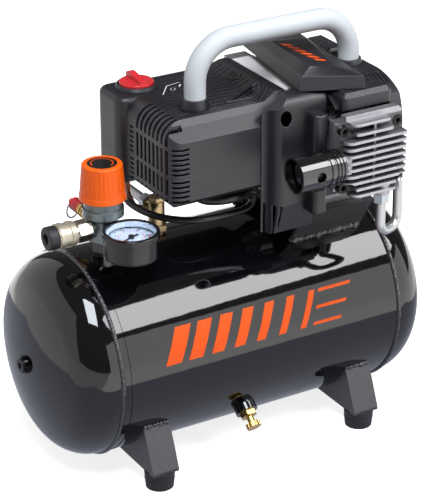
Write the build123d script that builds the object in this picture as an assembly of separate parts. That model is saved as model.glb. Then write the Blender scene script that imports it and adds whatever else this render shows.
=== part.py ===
from build123d import *
import os
from math import cos, sin, tan, radians, degrees, sqrt, pi, atan2

# Portable oil-free air compressor: a 12 litre tank on four rubber feet, a motor
# and single-cylinder pump on a saddle above it, moulded covers and a tube handle.
# Frame: X along the tank, left to right; Y from front to back; Z up.
# Origin: on the floor, midway between the four foot holes, under the tank's axis.

# ---- tank ----
TANK_RADIUS = 100.0
TANK_WALL = 2.0
TANK_AXIS = 112.0          # height of the tank's axis above the floor
SHELL_HALF = 154.0         # half length of the rolled shell
HEAD_FLANGE = 2.0          # straight part of a pressed head beyond the shell
HEAD_DEPTH = 50.0          # dish depth
HEAD_KNUCKLE = 40.0        # knuckle radius of the dish
JOGGLE_WIDTH = 9.0         # band at each shell end that takes the head's flange
JOGGLE_DEPTH = 0.6
BEAD_WIDTH = 5.0
BEAD_HEIGHT = 1.5

# ---- end plug ----
PLUG_BOSS_RADIUS = 9.0
PLUG_BOSS_LENGTH = 3.0
PLUG_RADIUS = 7.5
PLUG_LENGTH = 2.5
PLUG_SOCKET = 6.0          # hexagon socket in the plug, across flats
PLUG_SOCKET_DEPTH = 4.0
PLUG_THREAD_RADIUS = 5.5

# ---- feet ----
FOOT_X = 114.0             # foot centre from the middle, along the tank
FOOT_Y = 93.0              # foot centre from the middle, across the tank
FOOT_HEIGHT = 18.0
FOOT_RADIUS_TOP = 15.0
FOOT_RADIUS_FLOOR = 13.5
FOOT_BOLT_RADIUS = 3.5
FOOT_NECK_RADIUS = 7.0
FOOT_NECK_GAP = 0.2
FOOT_COLLAR_RADIUS = 8.0
FOOT_COLLAR_HEIGHT = 3.0
LEG_WIDTH = 28.0
LEG_SHEET = 3.0
LEG_OUTER_Y = 106.0        # front edge of the bracket's lower flange
LEG_TOP_Y = 88.5
LEG_TOP_Z = 62.0
LEG_INNER_Y = 33.0

# ---- pump saddle ----
SADDLE_X = 96.5
SADDLE_WIDTH = 80.0
SADDLE_TOP = 234.0
SADDLE_TOP_HALF = 74.0
SADDLE_FOOT_HALF = 50.0
SADDLE_SHEET = 3.0

# ---- drain ----
DRAIN_X = -12.0
DRAIN_ANGLE = 52.0         # from straight down, towards the front
DRAIN_BOSS_RADIUS = 11.0
DRAIN_BOSS_LENGTH = 8.0
DRAIN_HEX = 15.0
DRAIN_HEX_LENGTH = 5.0
DRAIN_BARREL_RADIUS = 3.4
DRAIN_BARREL_LENGTH = 6.0
DRAIN_STEM_RADIUS = 1.8
DRAIN_KNOB_RADIUS = 7.2
DRAIN_KNOB_LENGTH = 5.0
DRAIN_STEM_REACH = 9.0
DRAIN_PORT_RADIUS = 3.0

# ---- crank and motor ----
CRANK_Y = -30.0
CRANK_Z = 305.0
CYLINDER_X = 98.0
THROW = 12.0               # crank radius
ROD_LENGTH = 52.0
SHAFT_RADIUS = 6.0
SHAFT_LEFT = -79.0
RUN_GAP = 0.05             # radial running clearance
SEAT_GAP = 0.3             # clearance beside a moving piece
PIN_RADIUS = 6.0
STATOR_RADIUS = 28.0
STATOR_LEFT = -42.0
STATOR_RIGHT = 4.0
AIR_GAP = 0.6
ROTOR_RADIUS = 16.0
WINDING_REACH = 10.0
SLEEVE_WALL = 2.4
FAN_RADIUS = 27.0
FAN_X = -77.0
FAN_WIDTH = 12.0
FAN_BLADES = 9

# ---- crankcase ----
CASE_LEFT = 62.0
CASE_RIGHT = 132.0
CASE_RADIUS = 42.0
CASE_WALL = 6.0
CASE_BASE = 8.0
BEARING_RADIUS = 13.0
BEARING_WIDTH = 9.0
DECK_TOP = 355.0
DECK_THICK = 3.0
DECK_BACK = 60.0           # end of the deck's tongue between the covers

# ---- cylinder and head ----
BORE_RADIUS = 27.0
BARREL_WALL = 3.5
BARREL_FIN_RADIUS = 34.0
BARREL_FIN_PITCH = 6.5
CASE_FACE_Y = -72.0        # joint between crankcase and barrel
BARREL_LENGTH = 32.5
VALVE_PLATE = 6.0
GASKET = 0.8
HEAD_BASE = 8.7
HEAD_HALF = 34.0
HEAD_TOP = 347.0
HEAD_SIDE = CYLINDER_X + HEAD_HALF
HEAD_NOTCH = 6.0           # step at the head's upper left corner
HEAD_NOTCH_HEIGHT = 9.0
FIN_FRONT_Y = -132.0
FIN_THICK = 2.6
FIN_PITCH = 6.73
HEAD_SCREW_HALF_X = 29.5
HEAD_SCREW_HALF_Z = 28.0
SCREW_RADIUS = 3.0
SCREW_HEAD_RADIUS = 5.0
SCREW_SEAT = 5.0           # depth of the screw heads' seats in the head's base
SCREW_GAP = 0.3            # radial clearance of a screw in its hole
PISTON_GAP = 0.3
PISTON_LENGTH = 20.0

# ---- intake filter ----
FILTER_Z = 302.0
FILTER_Y = -122.0
FILTER_RADIUS = 17.0
FILTER_LEFT = 13.0
FILTER_RIGHT = 50.0
FILTER_NECK_RADIUS = 15.0

# ---- delivery tube ----
TUBE_RADIUS = 4.75
TUBE_BORE = 3.4
OUTLET_X = 111.0
CHECK_X = -58.0
CHECK_Y = 8.0
CHECK_PORT_Z = 236.0
TUBE_LOW = 222.0           # lowest run of the tube, under the head
TUBE_LEVEL = 272.0         # long run past the pump
UNLOADER_RADIUS = 2.0
UNLOADER_START = 13.0      # end of the small port, from the check valve's axis
UNLOADER_TOP = (-70.0, 42.0)

# ---- covers ----
COVER_WALL = 2.5
COVER_LEFT = -85.0
COVER_RIGHT = 47.0
COVER_FRONT = -70.0
COVER_BACK = 60.0
COVER_BOTTOM = 270.0
COVER_TOP = 350.0
COVER_SPLIT = 298.0
COVER_ROUND = 18.0         # top left edge
COVER_CORNER = 14.0
COVER_RIDGE = 6.0          # rise of the top at the right end
NOSE_LEFT = -92.0
NOSE_FRONT = 14.0
NOSE_RIGHT = -36.0
NOSE_BOTTOM = 267.0
GRILLE_ROWS = ((273.5, 277.0), (281.0, 297.0), (301.0, 325.0), (329.0, 352.0))
GRILLE_SLOT = 4.2
GRILLE_PITCH = 7.6
GROOVE_PITCH = 7.2
GROOVE_WIDTH = 2.0
GROOVE_DEPTH = 1.0
GROOVE_TURN_Y = -14.0      # behind this line the grooves run on into the ridge
BOX_LEFT = 10.0
BOX_RIGHT = 61.6
BOX_FRONT = -88.0
BOX_BACK = -66.0
BULGE_RIGHT = 63.7
BULGE_CORNER = COVER_WALL + 3.5
BULGE_EDGE = COVER_WALL + 0.3
BOX_TOP_RIGHT = 71.6       # the box's upper part reaches over the barrel
BOX_STEP = 341.5           # underside of that part
BOX_EDGE = COVER_WALL + 0.5
BOX_BOTTOM = 226.0
BOX_TOP = 363.0
SIDE_LEFT = 72.0
SIDE_RIGHT = 144.5
SIDE_FRONT = -109.0
SIDE_BACK = 42.0
SIDE_TOP = 363.0
SIDE_LIP_LEFT = 76.0       # front lip over the cylinder head
SIDE_LIP_RIGHT = 130.0
SIDE_BOTTOM = 267.0
COVER_GAP = 0.4            # joint gap between neighbouring covers

# ---- handle ----
HANDLE_Y = -35.0
HANDLE_LEFT = -40.0
HANDLE_RIGHT = 129.0
HANDLE_TOP = 412.0         # height of the grip's axis
HANDLE_RADIUS = 10.2
HANDLE_WALL = 1.5
HANDLE_BEND = 38.0
COLLAR_WALL = 3.4
COLLAR_HEIGHT = 10.0

# ---- switch ----
KNOB_X = -60.0
KNOB_Y = 40.0
KNOB_RADIUS = 16.5
KNOB_DISC = 4.0
KNOB_GRIP = 10.0
KNOB_COLLAR = 3.0
KNOB_SHAFT = 4.0
KNOB_TURN = -90.0
SWITCH_BOTTOM = 286.0
CORD_X = -70.0
CORD_Z = 284.0
CORD_BORE = 3.1

# ---- regulator group ----
REG_X = -128.5
REG_Y = -18.0
REG_PORT_Z = 245.0
REG_BELL_Z = 257.0
REG_BELL_RADIUS = 19.5
REG_KNOB_Z = 273.8
REG_KNOB_TOP = 308.0
REG_KNOB_RADIUS = 22.4
REG_KNOB_TOP_RADIUS = 19.0
REG_FLUTES = 28
REG_LOW = 232.0            # underside of the four-port neck
REG_STEM = 5.0
REG_CAP_RADIUS = 13.9
COUPLER_TURN = 180.0   # direction of the outlet, seen from above
SAFETY_TURN = 90.0
GAUGE_TURN = -81.2
GAUGE_REACH = 42.5
GAUGE_RADIUS = 25.8
GAUGE_TOP = REG_PORT_Z + 9.0
GAUGE_HEIGHT = 25.0
COUPLER_SLEEVE_RADIUS = 12.25
COUPLER_BORE = 5.2
COUPLER_CORE = 8.4
COUPLER_FACE = 15.2        # the next lengths are from the regulator's axis
COUPLER_HEX_LENGTH = 13.5
COUPLER_SLEEVE_END = 49.5
COUPLER_MOUTH = 59.5
SLEEVE_TRAVEL = 2.5
SAFETY_FACE = 15.0
SAFETY_CAP_START = 44.0
SAFETY_CAP_END = 59.0
SAFETY_EYE = 63.0
SAFETY_STEM = 1.8
SAFETY_CAP_RADIUS = 6.5
RING_WIRE = 0.8
RING_RADIUS = 8.0
RING_YAW = 20.0            # the ring hangs turned a little about the upright
NEEDLE_ZERO = 200.0        # direction of the needle at no pressure, seen from above

# ---- lead between switch and motor ----
LEAD_RADIUS = 3.4
LEAD_ROUTE = [(-34, -28, 265), (-34, -28, 253), (-8, -46, 254.5), (22, -38, 256), (22, -37, 237),
              (-8, -41, 237), (-42, -41, 238), (-66, -16, 237), (-77, 8, 239), (-82, 30, 244),
              (-82, 30, 262)]


# ---------------------------------------------------------------- helpers
def gather(pieces):
    """Several separate solids as one node."""
    return Compound([solid for piece in pieces for solid in piece.solids()])


def rod_x(radius, x0, x1, y, z):
    """A round bar along X."""
    return Plane(origin=(x0, y, z), z_dir=(1, 0, 0)) * Cylinder(
        radius, x1 - x0, align=(Align.CENTER, Align.CENTER, Align.MIN))


def rod_y(radius, y0, y1, x, z):
    """A round bar along Y."""
    return Plane(origin=(x, y0, z), z_dir=(0, 1, 0)) * Cylinder(
        radius, y1 - y0, align=(Align.CENTER, Align.CENTER, Align.MIN))


def rod_z(radius, z0, z1, x, y):
    """A round bar along Z."""
    return Pos(x, y, z0) * Cylinder(radius, z1 - z0, align=(Align.CENTER, Align.CENTER, Align.MIN))


def block(x0, x1, y0, y1, z0, z1):
    """A box from its two corners."""
    return Pos(x0, y0, z0) * Box(x1 - x0, y1 - y0, z1 - z0, align=(Align.MIN, Align.MIN, Align.MIN))


def bar_on(plane, radius, start, end):
    """A round bar along a plane's normal, between two distances from its origin."""
    return plane * Pos(0, 0, start) * Cylinder(radius, end - start,
                                               align=(Align.CENTER, Align.CENTER, Align.MIN))


def hex_on(plane, across, start, end):
    """A hexagonal bar along a plane's normal."""
    sketch = RegularPolygon(across / 2, 6, major_radius=False)
    return plane * Pos(0, 0, start) * extrude(sketch, end - start)


def section_x(points, x0, x1):
    """A polygon in (y, z), extruded along X."""
    face = make_face(Polyline(*[(x0, y, z) for y, z in points], close=True))
    return extrude(face, x1 - x0, dir=(1, 0, 0))


def pipe(route, radius, bends):
    """A round bar along straight runs joined by arcs."""
    path = FilletPolyline(*route, radius=bends)
    start = Plane(origin=path @ 0, z_dir=path % 0)
    return sweep(start * Circle(radius), path=path)


def lead_bends(route):
    """Bend radius at each inner point: 0.45 of the shorter run over the half turn's tangent."""
    bends = []
    for before, here, after in zip(route, route[1:], route[2:]):
        run_in = Vector(*here) - Vector(*before)
        run_out = Vector(*after) - Vector(*here)
        half_turn = radians(run_in.get_angle(run_out) / 2)
        bends.append(0.45 * min(run_in.length, run_out.length) / tan(half_turn))
    return bends


# ---------------------------------------------------------------- tank
def tank_shell():
    """Rolled shell, with its ends pressed in a little to take the heads."""
    z = TANK_AXIS
    body = rod_x(TANK_RADIUS, -SHELL_HALF, SHELL_HALF, 0, z)
    for side in (-1, 1):
        inner = side * (SHELL_HALF - JOGGLE_WIDTH)
        x0, x1 = sorted((inner, side * SHELL_HALF))
        body -= rod_x(TANK_RADIUS + 5, x0, x1, 0, z) - rod_x(TANK_RADIUS - JOGGLE_DEPTH, x0, x1, 0, z)
    body -= rod_x(TANK_RADIUS - TANK_WALL, -SHELL_HALF, SHELL_HALF, 0, z)
    body -= rod_z(5, z + 60, z + 120, REG_X, REG_Y)
    body -= rod_z(5, z + 60, z + 120, CHECK_X, CHECK_Y)
    body -= bar_on(drain_plane(), DRAIN_PORT_RADIUS, -20, 20)
    return body


def head_profile(radius, depth, knuckle, start):
    """Half section of a dished head: flange, knuckle arc and crown arc, in (x, r)."""
    crown = (depth ** 2 + (radius - knuckle) ** 2 - knuckle ** 2) / (2 * (depth - knuckle))
    centre = start + depth - crown
    lean = atan2(radius - knuckle, start - centre)
    join = (centre + crown * cos(lean), crown * sin(lean))
    mid_knuckle = (start + knuckle * cos((pi / 2 + lean) / 2),
                   radius - knuckle + knuckle * sin((pi / 2 + lean) / 2))
    mid_crown = (centre + crown * cos(lean / 2), crown * sin(lean / 2))
    return join, mid_knuckle, mid_crown


def head_solid(radius, depth, knuckle):
    """The dished head's outside as a solid of revolution about X, on the right side."""
    base = SHELL_HALF
    start = base + HEAD_FLANGE
    join, mid_knuckle, mid_crown = head_profile(radius, depth, knuckle, start)
    tip = (start + depth, 0)
    edges = [
        Line((base, 0), (base, radius)),
        Line((base, radius), (start, radius)),
        ThreePointArc((start, radius), mid_knuckle, join),
        ThreePointArc(join, mid_crown, tip),
        Line(tip, (base, 0)),
    ]
    face = make_face([Plane.XZ * edge for edge in edges])
    return Pos(0, 0, TANK_AXIS) * revolve(face, Axis.X, 360)


def tank_head(side):
    """One pressed head; the left one has a threaded boss at its middle."""
    outer = head_solid(TANK_RADIUS - JOGGLE_DEPTH, HEAD_DEPTH, HEAD_KNUCKLE)
    inner = head_solid(TANK_RADIUS - JOGGLE_DEPTH - TANK_WALL, HEAD_DEPTH - TANK_WALL,
                       HEAD_KNUCKLE - TANK_WALL)
    head = outer - inner
    if side > 0:
        return head
    head = mirror(head, Plane.YZ)
    apex = SHELL_HALF + HEAD_FLANGE + HEAD_DEPTH
    boss = rod_x(PLUG_BOSS_RADIUS, -apex - PLUG_BOSS_LENGTH, -apex + TANK_WALL, 0, TANK_AXIS)
    return head + boss - rod_x(PLUG_THREAD_RADIUS, -apex - 10, -apex + 10, 0, TANK_AXIS)


def head_plug():
    """Round plug with a hexagon socket in the left head's boss."""
    apex = SHELL_HALF + HEAD_FLANGE + HEAD_DEPTH
    face = -apex - PLUG_BOSS_LENGTH
    plane = Plane(origin=(face, 0, TANK_AXIS), z_dir=(-1, 0, 0))
    rim = bar_on(plane, PLUG_RADIUS, 0, PLUG_LENGTH)
    rim = chamfer(rim.edges().group_by(Axis.X)[0], 0.7)
    plug = rim + rod_x(PLUG_THREAD_RADIUS - 0.05, face, -apex + 4, 0, TANK_AXIS)
    return plug - hex_on(plane, PLUG_SOCKET, PLUG_LENGTH - PLUG_SOCKET_DEPTH, PLUG_LENGTH + 1)


def weld_beads():
    """Girth weld on each head joint and the two fillet welds of the saddle."""
    beads = []
    for side in (-1, 1):
        x = side * SHELL_HALF
        ring = Torus(TANK_RADIUS - JOGGLE_DEPTH, BEAD_HEIGHT + JOGGLE_DEPTH)
        bead = Pos(x, 0, TANK_AXIS) * Rot(0, 90, 0) * ring
        bead -= rod_x(TANK_RADIUS - JOGGLE_DEPTH, x - BEAD_WIDTH, x + BEAD_WIDTH, 0, TANK_AXIS)
        beads.append(bead)
    return gather(beads)


# ---------------------------------------------------------------- feet
def leg_outline():
    """Side outline of a foot bracket in (distance from middle, z)."""
    flange = FOOT_HEIGHT
    return [(LEG_TOP_Y, LEG_TOP_Z), (LEG_OUTER_Y, flange + LEG_SHEET), (LEG_OUTER_Y, flange),
            (LEG_INNER_Y, flange), (LEG_INNER_Y + 12, TANK_AXIS - 60), (LEG_TOP_Y - 20, LEG_TOP_Z)]


def foot_bracket():
    """Folded sheet bracket, welded to the tank: front plate, two gussets, lower flange."""
    points = leg_outline()
    outline = make_face(Polyline(*[(0, y, z) for y, z in points], close=True))
    hollow = offset(outline, -LEG_SHEET)
    body = extrude(outline, LEG_WIDTH / 2, both=True, dir=(1, 0, 0))
    body -= extrude(hollow, LEG_WIDTH / 2 - LEG_SHEET, both=True, dir=(1, 0, 0))
    body = Pos(FOOT_X, 0, 0) * body
    body -= rod_x(TANK_RADIUS, -SHELL_HALF, SHELL_HALF, 0, TANK_AXIS)
    return body - rod_z(FOOT_NECK_RADIUS, 0, FOOT_HEIGHT + LEG_SHEET + 1, FOOT_X, FOOT_Y)


def rubber_foot():
    """Grommet foot: body under the flange, neck through it, collar above, bolt hole."""
    flange = FOOT_HEIGHT + LEG_SHEET
    body = Cone(FOOT_RADIUS_FLOOR, FOOT_RADIUS_TOP, FOOT_HEIGHT,
                align=(Align.CENTER, Align.CENTER, Align.MIN))
    body += rod_z(FOOT_NECK_RADIUS - FOOT_NECK_GAP, FOOT_HEIGHT, flange, 0, 0)
    body += rod_z(FOOT_COLLAR_RADIUS, flange, flange + FOOT_COLLAR_HEIGHT, 0, 0)
    body -= rod_z(FOOT_BOLT_RADIUS, -1, flange + FOOT_COLLAR_HEIGHT + 1, 0, 0)
    return Pos(FOOT_X, FOOT_Y, 0) * body


def on_four_corners(piece):
    """The same piece at the four corners of the tank."""
    right = [piece, mirror(piece, Plane.XZ)]
    return gather(right + [mirror(item, Plane.YZ) for item in right])


# ---------------------------------------------------------------- saddle
def pump_saddle():
    """Bent sheet channel: flat top, two legs leaning in to the tank."""
    top, sheet = SADDLE_TOP, SADDLE_SHEET
    foot_z = TANK_AXIS + sqrt(TANK_RADIUS ** 2 - SADDLE_FOOT_HALF ** 2) - 3
    outer = [(-SADDLE_TOP_HALF, top), (SADDLE_TOP_HALF, top), (SADDLE_FOOT_HALF, foot_z),
             (-SADDLE_FOOT_HALF, foot_z)]
    lean = (SADDLE_TOP_HALF - SADDLE_FOOT_HALF) / (top - foot_z)
    side = sheet * sqrt(1 + lean ** 2)
    inner_half = SADDLE_TOP_HALF - side - sheet * lean
    floor_half = SADDLE_FOOT_HALF - side - lean
    inner = [(-inner_half, top - sheet), (inner_half, top - sheet), (floor_half, foot_z - 1),
             (-floor_half, foot_z - 1)]
    x0, x1 = SADDLE_X - SADDLE_WIDTH / 2, SADDLE_X + SADDLE_WIDTH / 2
    body = section_x(outer, x0, x1) - section_x(inner, x0, x1)
    body -= rod_x(TANK_RADIUS, -SHELL_HALF, SHELL_HALF, 0, TANK_AXIS)
    for x, y in saddle_bolts():
        body -= rod_z(SCREW_RADIUS + 0.3, top - sheet - 1, top + 1, x, y)
    return body


def saddle_bolts():
    """Where the crankcase's four bolts stand."""
    xs = (CASE_LEFT + 9, CASE_RIGHT - 9)
    ys = (CRANK_Y - 22, CRANK_Y + 34)
    return [(x, y) for x in xs for y in ys]


def case_screws():
    """Four bolts with nuts that hold the crankcase on the saddle."""
    low = SADDLE_TOP - SADDLE_SHEET
    high = SADDLE_TOP + CASE_BASE
    solids = []
    for x, y in saddle_bolts():
        up = Plane(origin=(x, y, high))
        screw = hex_on(up, 10, 0, 4) + bar_on(up, SCREW_RADIUS, -(high - low) - 4.8, 1)
        down = Plane(origin=(x, y, low), z_dir=(0, 0, -1))
        screw += hex_on(down, 10, 0, 4)
        solids.append(screw)
    return gather(solids)


# ---------------------------------------------------------------- drain
def radial_plane(x, angle):
    """A plane on the tank's surface, angle from straight down towards the front."""
    out = Vector(0, -sin(radians(angle)), -cos(radians(angle)))
    place = Vector(x, 0, TANK_AXIS) + out * TANK_RADIUS
    return Plane(origin=place, z_dir=out, x_dir=(1, 0, 0))


def drain_plane():
    return radial_plane(DRAIN_X, DRAIN_ANGLE)


def drain_boss():
    """Round socket welded over the tank's lower port."""
    plane = drain_plane()
    boss = bar_on(plane, DRAIN_BOSS_RADIUS, -2, DRAIN_BOSS_LENGTH)
    boss -= bar_on(plane, DRAIN_BARREL_RADIUS + 0.05, -3, DRAIN_BOSS_LENGTH + 1)
    return boss - rod_x(TANK_RADIUS, -SHELL_HALF, SHELL_HALF, 0, TANK_AXIS)


def drain_valve():
    """Brass drain body: threaded spigot, hexagon and barrel with a through bore."""
    plane = drain_plane()
    start = DRAIN_BOSS_LENGTH
    valve = bar_on(plane, DRAIN_BARREL_RADIUS, 1, start)
    valve += hex_on(plane, DRAIN_HEX, start, start + DRAIN_HEX_LENGTH)
    end = start + DRAIN_HEX_LENGTH + DRAIN_BARREL_LENGTH
    valve += bar_on(plane, DRAIN_BARREL_RADIUS, start + DRAIN_HEX_LENGTH - 1, end)
    return valve - bar_on(plane, DRAIN_STEM_RADIUS + RUN_GAP, 0, end + 1)


def drain_screw():
    """Knurled screw that opens the drain."""
    plane = drain_plane()
    end = DRAIN_BOSS_LENGTH + DRAIN_HEX_LENGTH + DRAIN_BARREL_LENGTH
    head = end + 1.2
    screw = bar_on(plane, DRAIN_STEM_RADIUS, end - DRAIN_STEM_REACH, head + 1)
    knob = bar_on(plane, DRAIN_KNOB_RADIUS, head, head + DRAIN_KNOB_LENGTH)
    for i in range(12):
        turn = Rot(0, 0, 30 * i)
        notch = Pos(DRAIN_KNOB_RADIUS + 0.3, 0, head - 1) * Cylinder(
            0.8, DRAIN_KNOB_LENGTH + 2, align=(Align.CENTER, Align.CENTER, Align.MIN))
        knob -= plane * turn * notch
    return screw + knob


# ---------------------------------------------------------------- check valve and tubes
def check_valve():
    """Brass check valve: hexagon on a boss, body, port to the rear, small port for the switch."""
    foot = TANK_AXIS + sqrt(TANK_RADIUS ** 2 - CHECK_Y ** 2)
    high = CHECK_PORT_Z + 9
    body = rod_z(9, foot - 6, foot + 3, CHECK_X, CHECK_Y)
    body -= rod_x(TANK_RADIUS, -SHELL_HALF, SHELL_HALF, 0, TANK_AXIS)
    up = Plane(origin=(CHECK_X, CHECK_Y, 0))
    body += hex_on(up, 19, foot + 3, foot + 9)
    body += rod_z(8, foot + 8, high, CHECK_X, CHECK_Y)
    body += hex_on(up, 14, high, high + 4)
    body += rod_y(6.5, CHECK_Y, CHECK_Y + 13, CHECK_X, CHECK_PORT_Z)
    small = unloader_plane()
    body += bar_on(small, 4, 4, UNLOADER_START + 0.01)
    body += hex_on(small, 9, 9, 12)
    body -= rod_z(3, foot - 12, high - 3, CHECK_X, CHECK_Y)
    body -= bar_on(small, UNLOADER_RADIUS + RUN_GAP, UNLOADER_START - 3, UNLOADER_START + 1)
    return body - rod_y(TUBE_RADIUS + 0.05, CHECK_Y + 6, CHECK_Y + 14, CHECK_X, CHECK_PORT_Z)


def unloader_plane():
    """Direction of the check valve's small port, level, to the left and rear."""
    out = Vector(-1, 1, 0).normalized()
    return Plane(origin=(CHECK_X, CHECK_Y, CHECK_PORT_Z), z_dir=out, x_dir=(0, 0, 1))


def delivery_route():
    """From the head's outlet, down and round, back along the side, across to the tank."""
    low = TUBE_LOW
    right = HEAD_SIDE + SEAT_GAP + TUBE_RADIUS
    port = CHECK_PORT_Z
    return [(OUTLET_X, FILTER_Y, outlet_z() - 4), (OUTLET_X, FILTER_Y, low),
            (right, FILTER_Y + 9, low), (right, FILTER_Y + 10, TUBE_LEVEL), (right, 64, TUBE_LEVEL),
            (right - 20, 86, TUBE_LEVEL - 12), (60, 90, port + 2), (CHECK_X + 10, 88, port),
            (CHECK_X, 72, port), (CHECK_X, CHECK_Y + 8, port)]


def outlet_z():
    """Underside of the head's outlet boss."""
    return CRANK_Z - HEAD_HALF - 7


def delivery_tube():
    """Bent aluminium tube from the head to the check valve."""
    route = delivery_route()
    bends = [11, 11, 14, 18, 18, 24, 14, 14]
    return pipe(route, TUBE_RADIUS, bends) - pipe(route, TUBE_BORE, bends)


def delivery_nuts():
    """Union nut at each end of the delivery tube."""
    down = Plane(origin=(OUTLET_X, FILTER_Y, outlet_z()), z_dir=(0, 0, -1))
    top_nut = hex_on(down, 14, 0, 9) - bar_on(down, TUBE_RADIUS + 0.05, -1, 10)
    back = Plane(origin=(CHECK_X, CHECK_Y + 13, CHECK_PORT_Z), z_dir=(0, 1, 0))
    low_nut = hex_on(back, 15, 0, 9) - bar_on(back, TUBE_RADIUS + 0.05, -1, 10)
    return gather([top_nut, low_nut])


def unloader_tube():
    """Thin tube from the check valve to the pressure switch above it."""
    plane = unloader_plane()
    start = plane.origin + plane.z_dir * (UNLOADER_START - 3)
    turn = plane.origin + plane.z_dir * (UNLOADER_START + 8)
    x, y = UNLOADER_TOP
    route = [tuple(start), tuple(turn), (x, y, CHECK_PORT_Z + 6), (x, y, SWITCH_BOTTOM - 2)]
    return pipe(route, UNLOADER_RADIUS, [6, 6])


# ---------------------------------------------------------------- crankcase and motor
def crankcase():
    """Die-cast case: base, crank chamber, bearing wall, front flange and upper deck."""
    y, z = CRANK_Y, CRANK_Z
    base = block(CASE_LEFT, CASE_RIGHT, y - 32, y + 44, SADDLE_TOP, SADDLE_TOP + CASE_BASE)
    body = rod_x(CASE_RADIUS, CASE_LEFT, CASE_RIGHT, y, z)
    body += block(CASE_LEFT + 4, CASE_RIGHT - 4, y - 14, y + 24, SADDLE_TOP + 2, z - 30)
    body += base
    flange_y = CASE_FACE_Y
    body += block(CASE_LEFT + 2, CASE_RIGHT, flange_y, flange_y + 10, z - 34, z + 34)
    for x in (CASE_LEFT + 8, CASE_RIGHT - 14):
        body += block(x, x + 6, y - 20, y + 40, z + 20, DECK_TOP - 1)
    deck = DECK_TOP - DECK_THICK
    body += block(CASE_LEFT - 14, CASE_RIGHT + 8, y - 24, y + 66, deck, DECK_TOP)
    body += block(CASE_LEFT - 14, SIDE_LEFT - SEAT_GAP, y + 60, DECK_BACK, deck, DECK_TOP)
    body -= rod_x(CASE_RADIUS - CASE_WALL, CASE_LEFT + 14, CASE_RIGHT - CASE_WALL, y, z)
    body -= rod_y(BORE_RADIUS + 0.5, flange_y - 1, y, CYLINDER_X, z)
    body -= rod_x(BEARING_RADIUS, CASE_LEFT - 1, CASE_LEFT + BEARING_WIDTH, y, z)
    body -= rod_x(SHAFT_RADIUS + 2, CASE_LEFT - 1, CASE_LEFT + 20, y, z)
    for x, by in saddle_bolts():
        body -= rod_z(SCREW_RADIUS + 0.3, SADDLE_TOP - 1, SADDLE_TOP + CASE_BASE + 1, x, by)
        body -= rod_z(7, SADDLE_TOP + CASE_BASE, SADDLE_TOP + CASE_BASE + 14, x, by)
    for x, hz in head_screw_places():
        body -= rod_y(SCREW_RADIUS + 0.1, flange_y - 1, flange_y + 8, x, hz)
    return body


def shaft_plane():
    """The shaft's axis as a plane's normal; its Z is the distance along the tank."""
    return Plane(origin=(0, CRANK_Y, CRANK_Z), z_dir=(1, 0, 0))


def motor_sleeve():
    """Aluminium motor frame: sleeve, end shield with bearing seat, flange to the case."""
    y, z = CRANK_Y, CRANK_Z
    outer = STATOR_RADIUS + SLEEVE_WALL
    end = STATOR_LEFT - WINDING_REACH - 8
    body = rod_x(outer, end, CASE_LEFT, y, z)
    body += rod_x(outer + 4, CASE_LEFT - 4, CASE_LEFT, y, z)
    body -= rod_x(STATOR_RADIUS, end + 5, CASE_LEFT, y, z)
    body += rod_x(BEARING_RADIUS + 4, end - 3, end + BEARING_WIDTH, y, z)
    body -= rod_x(BEARING_RADIUS, end - 3, end + BEARING_WIDTH - 2, y, z)
    body -= rod_x(SHAFT_RADIUS + 2, end - 4, end + 20, y, z)
    for i in range(6):
        turn = shaft_plane() * Rot(0, 0, 60 * i + 30)
        window = Pos(STATOR_RADIUS + 1, 0, 28) * Box(14, 18, 40)
        body -= turn * window
        vent = Pos(22, 0, end + 2.5) * Box(6, 9, 12)
        body -= turn * vent
    seat = block(HANDLE_LEFT - 9, HANDLE_LEFT + 9, HANDLE_Y - 9, HANDLE_Y + 9,
                 z + STATOR_RADIUS - 4, z + outer + 1)
    body += seat - rod_x(STATOR_RADIUS, end, CASE_LEFT, y, z)
    return body


def bearings():
    """The two ball bearings of the motor shaft."""
    end = STATOR_LEFT - WINDING_REACH - 8
    rings = []
    for x in (end - 2, CASE_LEFT):
        ring = rod_x(BEARING_RADIUS, x, x + BEARING_WIDTH - 1, CRANK_Y, CRANK_Z)
        ring -= rod_x(SHAFT_RADIUS + RUN_GAP, x - 1, x + BEARING_WIDTH + 1, CRANK_Y, CRANK_Z)
        groove = rod_x(BEARING_RADIUS - 2.5, x - 1, x + 0.6, CRANK_Y, CRANK_Z)
        groove -= rod_x(SHAFT_RADIUS + 2.2, x - 1, x + 0.6, CRANK_Y, CRANK_Z)
        rings.append(ring - groove)
    return gather(rings)


def stator():
    """Laminated core with inward teeth."""
    y, z = CRANK_Y, CRANK_Z
    core = rod_x(STATOR_RADIUS, STATOR_LEFT, STATOR_RIGHT, y, z)
    core -= rod_x(ROTOR_RADIUS + AIR_GAP, STATOR_LEFT, STATOR_RIGHT, y, z)
    for i in range(12):
        turn = shaft_plane() * Rot(0, 0, 30 * i)
        slot = Pos(ROTOR_RADIUS + 5, 0, (STATOR_LEFT + STATOR_RIGHT) / 2) * Box(
            6, 4.5, STATOR_RIGHT - STATOR_LEFT + 2)
        core -= turn * slot
    return core


def windings():
    """Copper end turns on both ends of the core."""
    y, z = CRANK_Y, CRANK_Z
    rings = []
    for x0, x1 in ((STATOR_LEFT - WINDING_REACH, STATOR_LEFT), (STATOR_RIGHT, STATOR_RIGHT + WINDING_REACH)):
        ring = rod_x(STATOR_RADIUS - 3, x0, x1, y, z) - rod_x(ROTOR_RADIUS + 2, x0, x1, y, z)
        rings.append(ring)
    return gather(rings)


def motor_shaft():
    """Steel shaft from the fan to the eccentric."""
    return rod_x(SHAFT_RADIUS, SHAFT_LEFT, CASE_LEFT + 22, CRANK_Y, CRANK_Z)


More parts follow.
